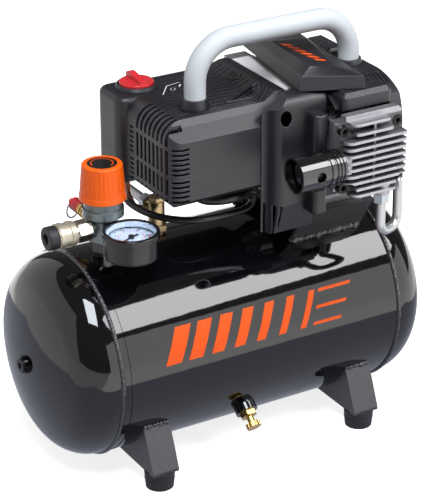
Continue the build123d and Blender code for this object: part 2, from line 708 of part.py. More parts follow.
def rotor_core():
    """Rotor laminations on the shaft."""
    y, z = CRANK_Y, CRANK_Z
    return (rod_x(ROTOR_RADIUS, STATOR_LEFT, STATOR_RIGHT, y, z)
            - rod_x(SHAFT_RADIUS, STATOR_LEFT, STATOR_RIGHT, y, z))


def fan():
    """Radial cooling fan at the motor's free end."""
    y, z = CRANK_Y, CRANK_Z
    hub = rod_x(SHAFT_RADIUS + 4, FAN_X, FAN_X + FAN_WIDTH, y, z)
    disc = rod_x(FAN_RADIUS, FAN_X + FAN_WIDTH - 2, FAN_X + FAN_WIDTH, y, z)
    wheel = hub + disc
    for i in range(FAN_BLADES):
        turn = shaft_plane() * Rot(0, 0, 360 / FAN_BLADES * i)
        blade = Pos(FAN_RADIUS / 2 + 4, 0, FAN_X + FAN_WIDTH / 2) * Rot(0, 0, 20) * Box(
            FAN_RADIUS - 11, 1.6, FAN_WIDTH)
        wheel += turn * blade
    return wheel - rod_x(SHAFT_RADIUS, FAN_X - 1, FAN_X + FAN_WIDTH + 1, y, z)


def eccentric():
    """Counterweighted crank disc with its pin."""
    y, z = CRANK_Y, CRANK_Z
    x0 = CASE_LEFT + 15
    x1 = CYLINDER_X - 7
    disc = rod_x(19, x0, x1, y, z)
    weight = rod_x(32, x0, x1, y, z) & block(x0, x1, y + 4, y + 40, z - 40, z + 40)
    pin = rod_x(PIN_RADIUS, x1 - 1, CYLINDER_X + 8, y - THROW, z)
    return disc + weight + pin - rod_x(SHAFT_RADIUS, x0 - 1, CASE_LEFT + 22, y, z)


def connecting_rod():
    """Rod with its ball bearing on the crank pin and a small eye in the piston."""
    z = CRANK_Z
    y_big = CRANK_Y - THROW
    y_small = y_big - ROD_LENGTH
    x0, x1 = CYLINDER_X - 6, CYLINDER_X + 6
    body = rod_x(15, x0, x1, y_big, z) + rod_x(7.5, x0, x1, y_small, z)
    body += block(x0 + 3, x1 - 3, y_small, y_big, z - 5, z + 5)
    body -= rod_x(3.2, x0 - 1, x1 + 1, y_small, z)
    return body - rod_x(PIN_RADIUS + RUN_GAP, x0 - 1, x1 + 1, y_big, z)


def piston():
    """Cup piston at the top of its stroke, open towards the crank."""
    crown = CRANK_Y - THROW - ROD_LENGTH - 10
    outer = rod_y(BORE_RADIUS - PISTON_GAP, crown, crown + PISTON_LENGTH, CYLINDER_X, CRANK_Z)
    inner = rod_y(BORE_RADIUS - 4.5, crown + 2, crown + PISTON_LENGTH + 1, CYLINDER_X, CRANK_Z)
    return outer - inner


# ---------------------------------------------------------------- cylinder and head
def head_screw_places():
    return [(CYLINDER_X + sx * HEAD_SCREW_HALF_X, CRANK_Z + sz * HEAD_SCREW_HALF_Z)
            for sx in (-1, 1) for sz in (-1, 1)]


def barrel_top():
    return CASE_FACE_Y - BARREL_LENGTH


def cylinder():
    """Finned aluminium barrel."""
    x, z = CYLINDER_X, CRANK_Z
    top = barrel_top()
    body = rod_y(BORE_RADIUS + BARREL_WALL, top, CASE_FACE_Y, x, z)
    for i in range(4):
        y = CASE_FACE_Y - 5 - i * BARREL_FIN_PITCH
        body += rod_y(BARREL_FIN_RADIUS, y - 2.2, y, x, z)
    body += block(x - 33.5, x + 33.5, top, top + 4, z - 33.5, z + 33.5)
    for sx, sz in head_screw_places():
        body -= rod_y(SCREW_RADIUS + 0.3, top - 1, CASE_FACE_Y + 1, sx, sz)
    return body - rod_y(BORE_RADIUS, top - 1, CASE_FACE_Y + 1, x, z)


def valve_plate():
    """Valve plate and the gasket in front of it."""
    x, z = CYLINDER_X, CRANK_Z
    back = barrel_top()
    solids = []
    for y1, thick in ((back, VALVE_PLATE), (back - VALVE_PLATE, GASKET)):
        plate = block(x - HEAD_HALF, x + HEAD_HALF, y1 - thick, y1, z - HEAD_HALF, z + HEAD_HALF)
        for sx, sz in head_screw_places():
            plate -= rod_y(SCREW_RADIUS + 0.3, y1 - thick - 1, y1 + 1, sx, sz)
        solids.append(plate)
    return gather(solids)


def head_back():
    return barrel_top() - VALVE_PLATE - GASKET


def head_front():
    return head_back() - HEAD_BASE


def fin_plate(z, left, right, round_left, round_right):
    """One level fin with a wide curve at its front left corner and a small one at the right."""
    fin = block(left, right, FIN_FRONT_Y, head_front() + 1, z - FIN_THICK, z)
    fin = fillet(fin.edges().filter_by(Axis.Z).group_by(Axis.Y)[0].sort_by(Axis.X)[0], round_left)
    return fillet(fin.edges().filter_by(Axis.Z).group_by(Axis.X)[-1].sort_by(Axis.Y)[0], round_right)


def cylinder_head():
    """Die-cast head: base, stacked fins along X, screw lugs, inlet and outlet bosses."""
    x, z = CYLINDER_X, CRANK_Z
    back, front = head_back(), head_front()
    left, right = x - HEAD_HALF, x + HEAD_HALF
    body = block(left, right, front, back, z - HEAD_HALF, HEAD_TOP)
    body -= block(left - 1, left + HEAD_NOTCH, front - 1, back + 1,
                  HEAD_TOP - HEAD_NOTCH_HEIGHT, HEAD_TOP + 1)
    body = chamfer(body.edges().filter_by(Axis.Y).group_by(Axis.X)[-1].sort_by(Axis.Z)[-1], 3.5)
    body = fillet(body.edges().filter_by(Axis.Y).group_by(Axis.Z)[0], 4)
    body -= block(left + 9, right - 9, back - 5, back + 1, z - 20, z + 20)
    body += fin_plate(HEAD_TOP - 4.5, left + 7, right - 19, 8, 4)
    body += fin_plate(HEAD_TOP - 14, left + 8, right - 15, 9, 4)
    for i in range(9):
        level = HEAD_TOP - 21.5 - i * FIN_PITCH
        left_cut, right_cut = ((0, 0), (3, 5), (9, 11))[max(0, i - 6)]
        body += fin_plate(level, left + 0.5 + left_cut, right - right_cut, 9, 3)
    body += block(x - 1.2, x + 1.2, FIN_FRONT_Y + 5, front + 1, z - 26, HEAD_TOP - 6)
    pockets = []
    for sx, sz in head_screw_places():
        pockets.append(rod_y(7.4, FIN_FRONT_Y - 1, front, sx, sz))
        pockets.append(rod_y(SCREW_HEAD_RADIUS + SEAT_GAP, front - 1, front + SCREW_SEAT, sx, sz))
        pockets.append(rod_y(SCREW_RADIUS + SCREW_GAP, front - 1, back + 1, sx, sz))
    body -= pockets
    body += rod_x(FILTER_NECK_RADIUS - 4, left - 2, left + 8, FILTER_Y, FILTER_Z) & block(
        left - 2, left + 8, FIN_FRONT_Y + 3, front + 2, 200, 400)
    body += rod_z(8, outlet_z(), z - HEAD_HALF + 6, OUTLET_X, FILTER_Y)
    return body - rod_z(TUBE_RADIUS + 0.05, outlet_z() - 1, outlet_z() + 5, OUTLET_X, FILTER_Y)


def head_screws():
    """Four long socket screws through the head into the crankcase."""
    seat = head_front() + SCREW_SEAT
    solids = []
    for sx, sz in head_screw_places():
        screw = rod_y(SCREW_RADIUS, seat, CASE_FACE_Y + 7, sx, sz)
        screw += rod_y(SCREW_HEAD_RADIUS, seat - 6, seat, sx, sz)
        plane = Plane(origin=(sx, seat - 6, sz), z_dir=(0, -1, 0))
        solids.append(screw - hex_on(plane, 5, -3.5, 1))
    return gather(solids)


def intake_filter():
    """Glossy can on the head's left side, open to the left, with a hole in its flank."""
    y, z = FILTER_Y, FILTER_Z
    left, right = FILTER_LEFT, FILTER_RIGHT
    side = CYLINDER_X - HEAD_HALF - 2
    body = rod_x(FILTER_RADIUS, left, right, y, z)
    body = fillet(body.edges().group_by(Axis.X)[-1], 1.5)
    body -= rod_x(FILTER_RADIUS - 2, left - 1, right - 4, y, z)
    ring = rod_x(FILTER_RADIUS + 1, right - 8, right - 5, y, z)
    groove = ring - rod_x(FILTER_RADIUS - 1, right - 8, right - 5, y, z)
    body -= groove
    body += rod_x(FILTER_NECK_RADIUS, right - 1, side, y, z)
    for i in range(3):
        body += rod_x(FILTER_NECK_RADIUS + 1, right + 2 + 3.5 * i, right + 4 + 3.5 * i, y, z)
    return body - rod_y(5, y - 30, y, (left + right) / 2 + 1, z)


def filter_core():
    """Foam cylinder inside the can, on a post."""
    y, z = FILTER_Y, FILTER_Z
    left = FILTER_LEFT + 9
    right = FILTER_RIGHT - 4
    core = rod_x(FILTER_RADIUS - 5, left, right, y, z)
    return core + rod_x(2.2, left - 5, left, y - 3, z - 4)


# ---------------------------------------------------------------- covers
def cover_prism(points, corner, inset, plane, length):
    """A polygon with one rounded corner, shrunk by the wall and extruded through the cover."""
    face = make_face(Polyline(*points, close=True))
    if corner:
        index, radius = corner
        vertex = face.vertices().sort_by_distance(points[index])[0]
        face = fillet(vertex, radius)
    if inset:
        face = offset(face, -inset)
    return extrude(face, length, both=True, dir=plane)


def motor_block(inset):
    """Motor cover as the common part of its three outlines; it runs past its right end."""
    left, right = COVER_LEFT, COVER_RIGHT + 12
    front, back, low = COVER_FRONT, COVER_BACK, COVER_BOTTOM
    high = COVER_TOP + COVER_RIDGE
    side = [(0, front, low + 5), (0, front + 5, low), (0, back - 5, low), (0, back, low + 5),
            (0, back, COVER_TOP - 12), (0, back - 9, high), (0, front + 20, high),
            (0, front + 11, COVER_TOP - 6), (0, front, COVER_TOP - 17)]
    end = [(left, 0, low + 5), (left + 5, 0, low), (right, 0, low), (right, 0, high),
           (COVER_RIGHT - 9, 0, high), (COVER_RIGHT - 24, 0, COVER_TOP), (left, 0, COVER_TOP)]
    plan = [(left, front, 0), (right, front, 0), (right, back, 0), (left, back, 0)]
    body = cover_prism(side, None, inset, (1, 0, 0), 150)
    body &= cover_prism(end, (6, COVER_ROUND), inset, (0, 1, 0), 150)
    return body & cover_prism(plan, (0, COVER_CORNER), inset, (0, 0, 1), 400)


def nose_block(inset):
    """Rounded housing of the pressure switch at the left rear."""
    left, right = NOSE_LEFT + inset, NOSE_RIGHT - inset
    front, back = NOSE_FRONT + inset, COVER_BACK + 3 - inset
    low, high = NOSE_BOTTOM + inset, COVER_TOP + 1 - inset
    body = block(left, right, front, back, low, high)
    body = fillet(body.edges().filter_by(Axis.Z), 12 - inset)
    return fillet(body.edges().group_by(Axis.Z)[-1], 6 - inset * 0.8)


def grille_cutters():
    """Upright slots in the left wall and short level slots round its two corners."""
    cutters = []
    for i in range(8):
        y = COVER_FRONT + 8.5 + i * GRILLE_PITCH
        for low, high in GRILLE_ROWS:
            cutters.append(block(COVER_LEFT - 1, COVER_LEFT + 17, y, y + GRILLE_SLOT, low, high))
    levels = [302.5 + 4.8 * i for i in range(6)] + [275.5 + 4.8 * i for i in range(5)]
    for z in levels:
        cutters.append(block(COVER_LEFT - 1, COVER_LEFT + 19, COVER_FRONT - 1, COVER_FRONT + 6,
                             z - 1.1, z + 1.1))
        cutters.append(block(COVER_LEFT - 1, COVER_LEFT + 4, 1.5, 8.5, z - 1.1, z + 1.1))
    return cutters


def groove_cutters():
    """Shallow grooves along the top of the motor cover."""
    cutters = []
    for i in range(13):
        y = COVER_FRONT + 24 + i * GROOVE_PITCH
        start = COVER_LEFT + 24 if y < NOSE_FRONT - 4 else NOSE_RIGHT + 3
        end = COVER_RIGHT - 26 if y < GROOVE_TURN_Y else COVER_RIGHT - 13
        cutters.append(block(start, end, y, y + GROOVE_WIDTH, COVER_TOP - GROOVE_DEPTH,
                             COVER_TOP + COVER_RIDGE + 1))
    return cutters


def cover_shell():
    """The whole motor cover before it is split at the joint."""
    shell = (motor_block(0) + nose_block(0)) - (motor_block(COVER_WALL) + nose_block(COVER_WALL))
    shell &= block(-150, COVER_RIGHT, -150, 150, 200, 400)
    cutters = grille_cutters() + groove_cutters()
    cutters.append(rod_z(HANDLE_RADIUS + SEAT_GAP, COVER_TOP - 8, COVER_TOP + 8, HANDLE_LEFT, HANDLE_Y))
    cutters.append(rod_z(6, COVER_TOP - 8, COVER_TOP + 8, KNOB_X, KNOB_Y))
    for (x, y, _), base in lead_glands():
        cutters.append(rod_z(LEAD_RADIUS + 2.4, base - 1, base + 4, x, y))
    cutters.append(rod_z(3, NOSE_BOTTOM - 1, NOSE_BOTTOM + 4, *UNLOADER_TOP))
    cutters.append(rod_y(4.2, COVER_BACK - 3, COVER_BACK + 4, CORD_X, CORD_Z))
    for i in range(7):
        x = -28 + i * 9
        cutters.append(block(x, x + 4, COVER_BACK - 4, COVER_BACK + 1, 306, 330))
    shell -= cutters
    ribs = block(-48, -45.5, CRANK_Y - 22, CRANK_Y + 22, COVER_BOTTOM + 1, 290)
    ribs += block(20, 22.5, CRANK_Y - 22, CRANK_Y + 22, COVER_BOTTOM + 1, 290)
    return shell + (ribs - rod_x(STATOR_RADIUS + SLEEVE_WALL + 0.1, -50, 30, CRANK_Y, CRANK_Z))


def cover_half(shell, upper):
    """The part of the motor cover above or below the joint."""
    low, high = (COVER_SPLIT, 400) if upper else (200, COVER_SPLIT - COVER_GAP / 2)
    return shell & block(-150, 150, -150, 150, low, high)


def box_prism(inset):
    """Pump cover as the common part of its plan and its side outline; open at the back."""
    right, front = BOX_RIGHT - inset, BOX_FRONT + inset
    back = BOX_BACK + (1 if inset else 0)
    low, high = BOX_BOTTOM + inset, BOX_TOP - inset
    round_off = 9 - inset
    plan = make_face([
        Spline((BOX_LEFT + inset, COVER_FRONT - COVER_GAP + inset * 2), (BOX_LEFT + 7, front + 8),
               (BOX_LEFT + 18, front), tangents=((1, 0), (1, 0))),
        Line((BOX_LEFT + 18, front), (right - round_off, front)),
        ThreePointArc((right - round_off, front), (right - round_off * 0.293, front + round_off * 0.293),
                      (right, front + round_off)),
        Line((right, front + round_off), (right, back)),
        Line((right, back), (COVER_RIGHT + COVER_GAP + inset, back)),
        Line((COVER_RIGHT + COVER_GAP + inset, back),
             (COVER_RIGHT + COVER_GAP + inset, COVER_FRONT - COVER_GAP + inset * 2)),
        Line((COVER_RIGHT + COVER_GAP + inset, COVER_FRONT - COVER_GAP + inset * 2),
             (BOX_LEFT + inset, COVER_FRONT - COVER_GAP + inset * 2)),
    ])
    body = extrude(Pos(0, 0, 200) * plan, 200, dir=(0, 0, 1))
    bend = 12 - inset
    side = [
        Line((front + 9, low), (40, low)),
        Line((40, low), (40, high)),
        Line((40, high), (front + bend, high)),
        ThreePointArc((front + bend, high), (front + bend * 0.293, high - bend * 0.293),
                      (front, high - bend)),
        Line((front, high - bend), (front, low + 30)),
        Line((front, low + 30), (front + 9, low)),
    ]
    side = make_face([Plane.YZ * edge for edge in side])
    body &= extrude(side, 150, both=True, dir=(1, 0, 0))
    end = [(0, 0, low), (right, 0, low), (right, 0, high), (BOX_LEFT + 21 + inset * 0.4, 0, high),
           (BOX_LEFT + 1, 0, high - 17 - inset * 0.4), (0, 0, high - 17 - inset * 0.4)]
    return body & cover_prism(end, None, 0, (0, 1, 0), 150)


def box_upper(inset):
    """The part of the pump cover that reaches over the barrel."""
    front = BOX_FRONT + inset
    body = block(BOX_RIGHT - 12, BOX_TOP_RIGHT - inset, front, BOX_BACK + (1 if inset else 0),
                 BOX_STEP + inset, BOX_TOP - inset)
    body = fillet(body.edges().filter_by(Axis.X).group_by(Axis.Z)[-1].group_by(Axis.Y)[0], 12 - inset)
    return fillet(body.edges().group_by(Axis.X)[-1].group_by(Axis.Y)[0], BOX_EDGE - inset)


def box_bulge(low, high, inset):
    """One of the two swellings beside the cylinder barrel."""
    left, right = BOX_RIGHT - 13 + inset, BULGE_RIGHT - inset
    front = BOX_FRONT - 15.5 + inset
    body = block(left, right, front, BOX_FRONT + 6 + inset, low + inset, high - inset)
    body = fillet(body.edges().filter_by(Axis.Z).group_by(Axis.Y)[0], BULGE_CORNER - inset)
    return fillet(body.edges().group_by(Axis.Y)[0], BULGE_EDGE - inset)


def pump_cover():
    """Moulded box in front of the crank chamber, with two bulges beside the barrel."""
    outer = box_prism(0) + box_upper(0) + box_bulge(302, 346, 0) + box_bulge(246, 273, 0)
    inner = box_prism(COVER_WALL) + box_upper(COVER_WALL)
    inner += box_bulge(302, 346, COVER_WALL) + box_bulge(246, 273, COVER_WALL)
    shell = outer - inner
    shell -= block(SADDLE_X - SADDLE_WIDTH / 2 - SEAT_GAP, BOX_RIGHT + 1, -SADDLE_TOP_HALF - SEAT_GAP,
                   BOX_BACK + 1, BOX_BOTTOM - 1, SADDLE_TOP + SEAT_GAP)
    plane = Plane(origin=(BOX_LEFT + 17, BOX_FRONT + 2, 343), z_dir=(-0.75, -1, 0))
    shell -= plane * extrude(Ellipse(5, 8), 9, both=True)
    for i in range(3):
        x = BOX_LEFT + 2.5 + i * 4.6
        shell -= block(x, x + 2.2, BOX_FRONT - 3, BOX_FRONT + 18 - i * 5, BOX_BOTTOM - 1, 256)
    return shell


def side_profile():
    """Section of the side cover in (y, z): flat top, long front shoulder, round back shoulder."""
    front, back = SIDE_FRONT, SIDE_BACK
    top, low = SIDE_TOP, SIDE_BOTTOM
    edges = [
        Line((front, low), (front, low + 18)),
        Line((front, low + 18), (front + 4, top - 45)),
        ThreePointArc((front + 4, top - 45), (front + 6.2, top - 25), (front + 10.5, top - 13)),
        ThreePointArc((front + 10.5, top - 13), (front + 24, top - 5.4), (front + 49, top)),
        Line((front + 49, top), (back - 16, top)),
        ThreePointArc((back - 16, top), (back - 16 * 0.293, top - 16 * 0.293), (back, top - 16)),
        Line((back, top - 16), (back, low)),
        Line((back, low), (front, low)),
    ]
    return make_face([Plane.YZ * edge for edge in edges])


def side_cover():
    """Moulded cover over the crank chamber's right side, open round the cylinder head."""
    outer = Pos(SIDE_LEFT, 0, 0) * extrude(side_profile(), SIDE_RIGHT - SIDE_LEFT, dir=(1, 0, 0))
    lip = block(SIDE_LIP_LEFT, SIDE_LIP_RIGHT, SIDE_FRONT + 1, SIDE_FRONT + 30,
                HEAD_TOP + SEAT_GAP, SIDE_TOP)
    lip = fillet(lip.edges().filter_by(Axis.Z).group_by(Axis.Y)[0], 5)
    lip = chamfer(lip.edges().group_by(Axis.Z)[-1].group_by(Axis.Y)[0], 4)
    inner_face = offset(side_profile(), -COVER_WALL)
    inner = Pos(SIDE_LEFT - 1, 0, 0) * extrude(inner_face, SIDE_RIGHT - COVER_WALL - SIDE_LEFT + 1,
                                               dir=(1, 0, 0))
    inner += block(SIDE_LIP_LEFT + COVER_WALL, SIDE_LIP_RIGHT - COVER_WALL, SIDE_FRONT + 1 + COVER_WALL,
                   SIDE_FRONT + 31, HEAD_TOP + COVER_WALL, SIDE_TOP - 3.2)
    floor = block(SIDE_LEFT - 1, SIDE_RIGHT - COVER_WALL, SIDE_FRONT + COVER_WALL, SIDE_BACK - COVER_WALL,
                  SIDE_BOTTOM - 1, SIDE_BOTTOM + 4)
    vents = block(121, SIDE_RIGHT - 5, -15, 27, SIDE_TOP - 1, SIDE_TOP + 7.5)
    vents = chamfer(vents.edges().group_by(Axis.Z)[-1], 2.5)
    inner += block(123, SIDE_RIGHT - 7, -13, 25, SIDE_TOP - 4, SIDE_TOP + 5.3)
    shell = outer + lip + vents - inner - floor
    cutters = [
        block(SIDE_LEFT - 1, HEAD_SIDE + SEAT_GAP, SIDE_FRONT - 12, SIDE_FRONT + 12, SIDE_BOTTOM - 1,
              HEAD_TOP + SEAT_GAP),
        block(HEAD_SIDE - 2, SIDE_RIGHT - COVER_WALL, SIDE_FRONT - 8, SIDE_FRONT + 8, SIDE_BOTTOM - 1,
              TUBE_LEVEL + 8),
        block(HEAD_SIDE - 2, SIDE_RIGHT - COVER_WALL, SIDE_BACK - 8, SIDE_BACK + 8, SIDE_BOTTOM - 1,
              TUBE_LEVEL + 8),
        rod_z(HANDLE_RADIUS + SEAT_GAP, SIDE_TOP - 6, SIDE_TOP + 6, HANDLE_RIGHT, HANDLE_Y),
    ]
    for i in range(8):
        y = -12 + i * 4.6
        cutters.append(block(118, 134, y, y + 2.2, SIDE_TOP + 1.5, SIDE_TOP + 9))
    for i in range(7):
        z = 284 + i * 8.5
        cutters.append(block(SIDE_LEFT + 12, SIDE_RIGHT - 26, SIDE_BACK - 4, SIDE_BACK + 1, z, z + 4))
        x = 114 + i * 4.2
        cutters.append(block(x, x + 1.8, SIDE_FRONT + 22, SIDE_FRONT + 40, SIDE_TOP - 12, SIDE_TOP + 1))
    return shell - cutters


def hood_layers(inset):
    """Three outlines of the hood, from its rim up to its top facet, each in one plane."""
    edge = inset * 1.1
    low = SIDE_TOP + COVER_GAP
    rim = [(46 + edge, -79 + edge, low), (102 - edge, -103 + edge, low),
           (119 - edge, 40 - edge, low), (66 + edge, 54 - edge, low)]
    top_rim = [(50 + edge, -76 + edge), (103 - edge, -99 + edge), (117 - edge, 34 - edge),
               (67.5 + edge, 40 - edge)]
    facet = [(61 + edge, -72 + edge), (85 - edge, -75 + edge), (107 - edge, 4 - edge),
             (67.5 + edge, 6 - edge)]
    layers = [rim]
    for outline, level, fall in ((top_rim, SIDE_TOP + 13, 0.03), (facet, SIDE_TOP + 21, 0.1)):
        layers.append([(x, y, level - inset - fall * (x - 50)) for x, y in outline])
    return layers


def roof_hood():
    """Faceted hood over the pump: upright rim, sloping sides, narrow top."""
    def solid(layers):
        wires = [Wire.make_polygon([Vector(*p) for p in layer], close=True) for layer in layers]
        lower = Solid.make_loft(wires[:2], ruled=True)
        upper = Solid.make_loft(wires[1:], ruled=True)
        return Part() + lower + upper
    return solid(hood_layers(0)) - solid(hood_layers(COVER_WALL))


# ---------------------------------------------------------------- handle
def handle():
    """Bent steel tube with rounded shoulders and two upright legs."""
    left_seat = CRANK_Z + STATOR_RADIUS + SLEEVE_WALL + 1
    route = [(HANDLE_LEFT, HANDLE_Y, left_seat), (HANDLE_LEFT, HANDLE_Y, HANDLE_TOP),
             (HANDLE_RIGHT, HANDLE_Y, HANDLE_TOP), (HANDLE_RIGHT, HANDLE_Y, DECK_TOP)]
    bends = [HANDLE_BEND, HANDLE_BEND]
    return pipe(route, HANDLE_RADIUS, bends) - pipe(route, HANDLE_RADIUS - HANDLE_WALL, bends)


def handle_collars():
    """Moulded collar round each leg where it enters a cover."""
    solids = []
    outer = HANDLE_RADIUS + COLLAR_WALL
    places = ((HANDLE_LEFT, COVER_TOP, COLLAR_HEIGHT), (HANDLE_RIGHT, SIDE_TOP, COLLAR_HEIGHT * 0.5))
    for x, z, high in places:
        ring = Pos(x, HANDLE_Y, z) * Cone(outer, outer - 1.5, high,
                                          align=(Align.CENTER, Align.CENTER, Align.MIN))
        solids.append(ring - rod_z(HANDLE_RADIUS + 0.05, z - 1, z + high + 1, x, HANDLE_Y))
    return gather(solids)


# ---------------------------------------------------------------- switch
def pressure_switch():
    """Switch block in the nose, with a guide sleeve for the knob's shaft and a port below."""
    top = COVER_TOP - COVER_WALL - 7
    body = block(KNOB_X - 22, KNOB_X + 20, KNOB_Y - 14, KNOB_Y + 14, SWITCH_BOTTOM, top)
    body += rod_z(8, top - 1, COVER_TOP + 1 - COVER_WALL - SEAT_GAP, KNOB_X, KNOB_Y)
    body += rod_z(5, SWITCH_BOTTOM - 6, SWITCH_BOTTOM + 1, *UNLOADER_TOP)
    body += block(KNOB_X + 4, KNOB_X + 14, KNOB_Y - 6, KNOB_Y + 6, NOSE_BOTTOM + COVER_WALL,
                  SWITCH_BOTTOM + 1)
    body -= rod_z(UNLOADER_RADIUS + RUN_GAP, SWITCH_BOTTOM - 7, SWITCH_BOTTOM - 2, *UNLOADER_TOP)
    return body - rod_z(KNOB_SHAFT + RUN_GAP, COVER_TOP - 20, COVER_TOP + 1, KNOB_X, KNOB_Y)


def knob_collar():
    """Raised black ring round the switch knob."""
    base = COVER_TOP + 1
    ring = Pos(KNOB_X, KNOB_Y, base) * Cone(KNOB_RADIUS + 4, KNOB_RADIUS + 2.2, KNOB_COLLAR,
                                            align=(Align.CENTER, Align.CENTER, Align.MIN))
    ring -= rod_z(KNOB_RADIUS + 0.5, base + 1, base + 10, KNOB_X, KNOB_Y)
    return ring - rod_z(6, base - 1, base + 10, KNOB_X, KNOB_Y)


def switch_knob():
    """Red rotary knob: disc, tapered grip across it, shaft down into the switch."""
    base = COVER_TOP + 2 + SEAT_GAP
    disc = rod_z(KNOB_RADIUS, base, base + KNOB_DISC, KNOB_X, KNOB_Y)
    disc = fillet(disc.edges().group_by(Axis.Z)[-1], 1.2)
    side = [(-14.5, 0, base + 2), (14.5, 0, base + 2), (13.5, 0, base + 6.5), (-7, 0, base + KNOB_GRIP),
            (-12, 0, base + KNOB_GRIP), (-14.5, 0, base + 8)]
    grip = extrude(make_face(Polyline(*side, close=True)), 3.4, both=True, dir=(0, 1, 0))
    grip = Pos(KNOB_X, KNOB_Y, 0) * Rot(0, 0, KNOB_TURN) * grip
    shaft = rod_z(KNOB_SHAFT, COVER_TOP - 19, base + 1, KNOB_X, KNOB_Y)
    return disc + grip + shaft


def lead_glands():
    """Each end of the lead with the cover face its gland stands on."""
    return [(LEAD_ROUTE[0], COVER_BOTTOM), (LEAD_ROUTE[-1], NOSE_BOTTOM)]


def cord_gland():
    """Glands: mains inlet at the back, and two for the ends of the lead."""
    y = COVER_BACK + 3
    inlet = rod_y(7, y, y + 5, CORD_X, CORD_Z) + rod_y(4.1, y - 5, y + 1, CORD_X, CORD_Z)
    glands = [inlet - rod_y(CORD_BORE, y - 6, y + 6, CORD_X, CORD_Z)]
    for (lx, ly, lz), base in lead_glands():
        nut = rod_z(LEAD_RADIUS + 3.6, lz, base, lx, ly)
        glands.append(nut + rod_z(LEAD_RADIUS + 2.3, base - 1, base + 3.5, lx, ly))
    return gather(glands)


def link_lead():
    """Lead from the motor to the pressure switch, held at both ends."""
    bends = lead_bends(LEAD_ROUTE)
    solid = pipe(LEAD_ROUTE, LEAD_RADIUS, bends)
    length = FilletPolyline(*LEAD_ROUTE, radius=bends).length
    print("lead bends", [round(bend, 1) for bend in bends], "length", round(length, 1))
    print("lead volume", round(solid.volume), "section x length", round(pi * LEAD_RADIUS ** 2 * length))
    return solid


# ---------------------------------------------------------------- regulator group
def port_plane(turn, z):
    """A plane at the regulator's axis whose normal points out of a port."""
    out = Vector(cos(radians(turn)), sin(radians(turn)), 0)
    return Plane(origin=(REG_X, REG_Y, z), z_dir=out, x_dir=(-out.Y, out.X, 0))


def outlet_nipple():
    """Black welded socket, nut and nipple between the tank and the regulator."""
    foot = TANK_AXIS + sqrt(TANK_RADIUS ** 2 - REG_Y ** 2)
    body = rod_z(12, foot - 6, foot + 4, REG_X, REG_Y)
    body -= rod_x(TANK_RADIUS, -SHELL_HALF, SHELL_HALF, 0, TANK_AXIS)
    body += hex_on(Plane(origin=(REG_X, REG_Y, 0)), 21, foot + 3, REG_LOW - SEAT_GAP)
    body += rod_z(7, foot + 3, REG_PORT_Z - 6, REG_X, REG_Y)
    return body - rod_z(3.5, foot - 10, REG_PORT_Z, REG_X, REG_Y)


def regulator_body():
    """Die-cast body: four-port neck, flared bell for the spring, bonnet ring."""
    up = Plane(origin=(REG_X, REG_Y, 0))
    body = hex_on(up, 26, REG_LOW, REG_BELL_Z - 3.5)
    body += Pos(REG_X, REG_Y, REG_BELL_Z - 4) * Cone(13, REG_BELL_RADIUS, 5,
                                                     align=(Align.CENTER, Align.CENTER, Align.MIN))
    body += rod_z(REG_BELL_RADIUS, REG_BELL_Z, REG_BELL_Z + 8, REG_X, REG_Y)
    body += rod_z(REG_BELL_RADIUS - 1.5, REG_BELL_Z + 7, REG_KNOB_Z - SEAT_GAP, REG_X, REG_Y)
    coupler = port_plane(COUPLER_TURN, REG_PORT_Z)
    body += bar_on(coupler, 8.5, 4, COUPLER_FACE)
    body += bar_on(port_plane(GAUGE_TURN, REG_PORT_Z), 7.5, 4, gauge_face())
    body += bar_on(port_plane(SAFETY_TURN, REG_PORT_Z), 8, 4, SAFETY_FACE)
    body -= rod_z(REG_BELL_RADIUS - 5, REG_BELL_Z - 1, REG_KNOB_Z - 4, REG_X, REG_Y)
    body -= rod_z(REG_STEM + RUN_GAP, REG_KNOB_Z - 6, REG_KNOB_Z + 1, REG_X, REG_Y)
    body -= rod_z(7.05, REG_LOW - 1, REG_PORT_Z - 5.5, REG_X, REG_Y)
    return body - bar_on(coupler, 5, 6, COUPLER_FACE + 1)


def gauge_face():
    """Where the gauge case starts, from the regulator's axis."""
    return GAUGE_REACH - GAUGE_RADIUS - 1


def regulator_knob():
    """Orange fluted knob, hollow below, on its adjusting stem."""
    z0, z1 = REG_KNOB_Z, REG_KNOB_TOP
    rim = 5.0
    body = Pos(REG_X, REG_Y, z0) * Cone(REG_KNOB_RADIUS, REG_KNOB_RADIUS - 0.6, rim,
                                        align=(Align.CENTER, Align.CENTER, Align.MIN))
    body += Pos(REG_X, REG_Y, z0 + rim) * Cone(REG_KNOB_RADIUS - 0.9, REG_KNOB_TOP_RADIUS, z1 - z0 - rim,
                                               align=(Align.CENTER, Align.CENTER, Align.MIN))
    body = fillet(body.edges().group_by(Axis.Z)[-1], 2.0)
    lean = degrees(atan2(REG_KNOB_RADIUS - 0.9 - REG_KNOB_TOP_RADIUS, z1 - z0 - rim))
    flutes = []
    for i in range(REG_FLUTES):
        flute = Pos(REG_KNOB_RADIUS - 0.3, 0, z0 + rim) * Rot(0, -lean, 0) * Cylinder(
            0.95, z1 - z0 + 4, align=(Align.CENTER, Align.CENTER, Align.MIN))
        flutes.append(Pos(REG_X, REG_Y, 0) * Rot(0, 0, 360 / REG_FLUTES * i) * flute)
    body -= flutes
    body -= rod_z(REG_KNOB_TOP_RADIUS - 3, z0 - 1, z1 - 6, REG_X, REG_Y)
    body += rod_z(REG_STEM, z0 - 5, z1 - 5, REG_X, REG_Y)
    return body - rod_z(REG_CAP_RADIUS + 0.1, z1 - 1.2, z1 + 1, REG_X, REG_Y)


def regulator_cap():
    """Black disc let into the top of the knob."""
    return rod_z(REG_CAP_RADIUS, REG_KNOB_TOP - 1.2, REG_KNOB_TOP - 0.1, REG_X, REG_Y)


def gauge_centre():
    out = port_plane(GAUGE_TURN, 0).z_dir
    return REG_X + out.X * GAUGE_REACH, REG_Y + out.Y * GAUGE_REACH


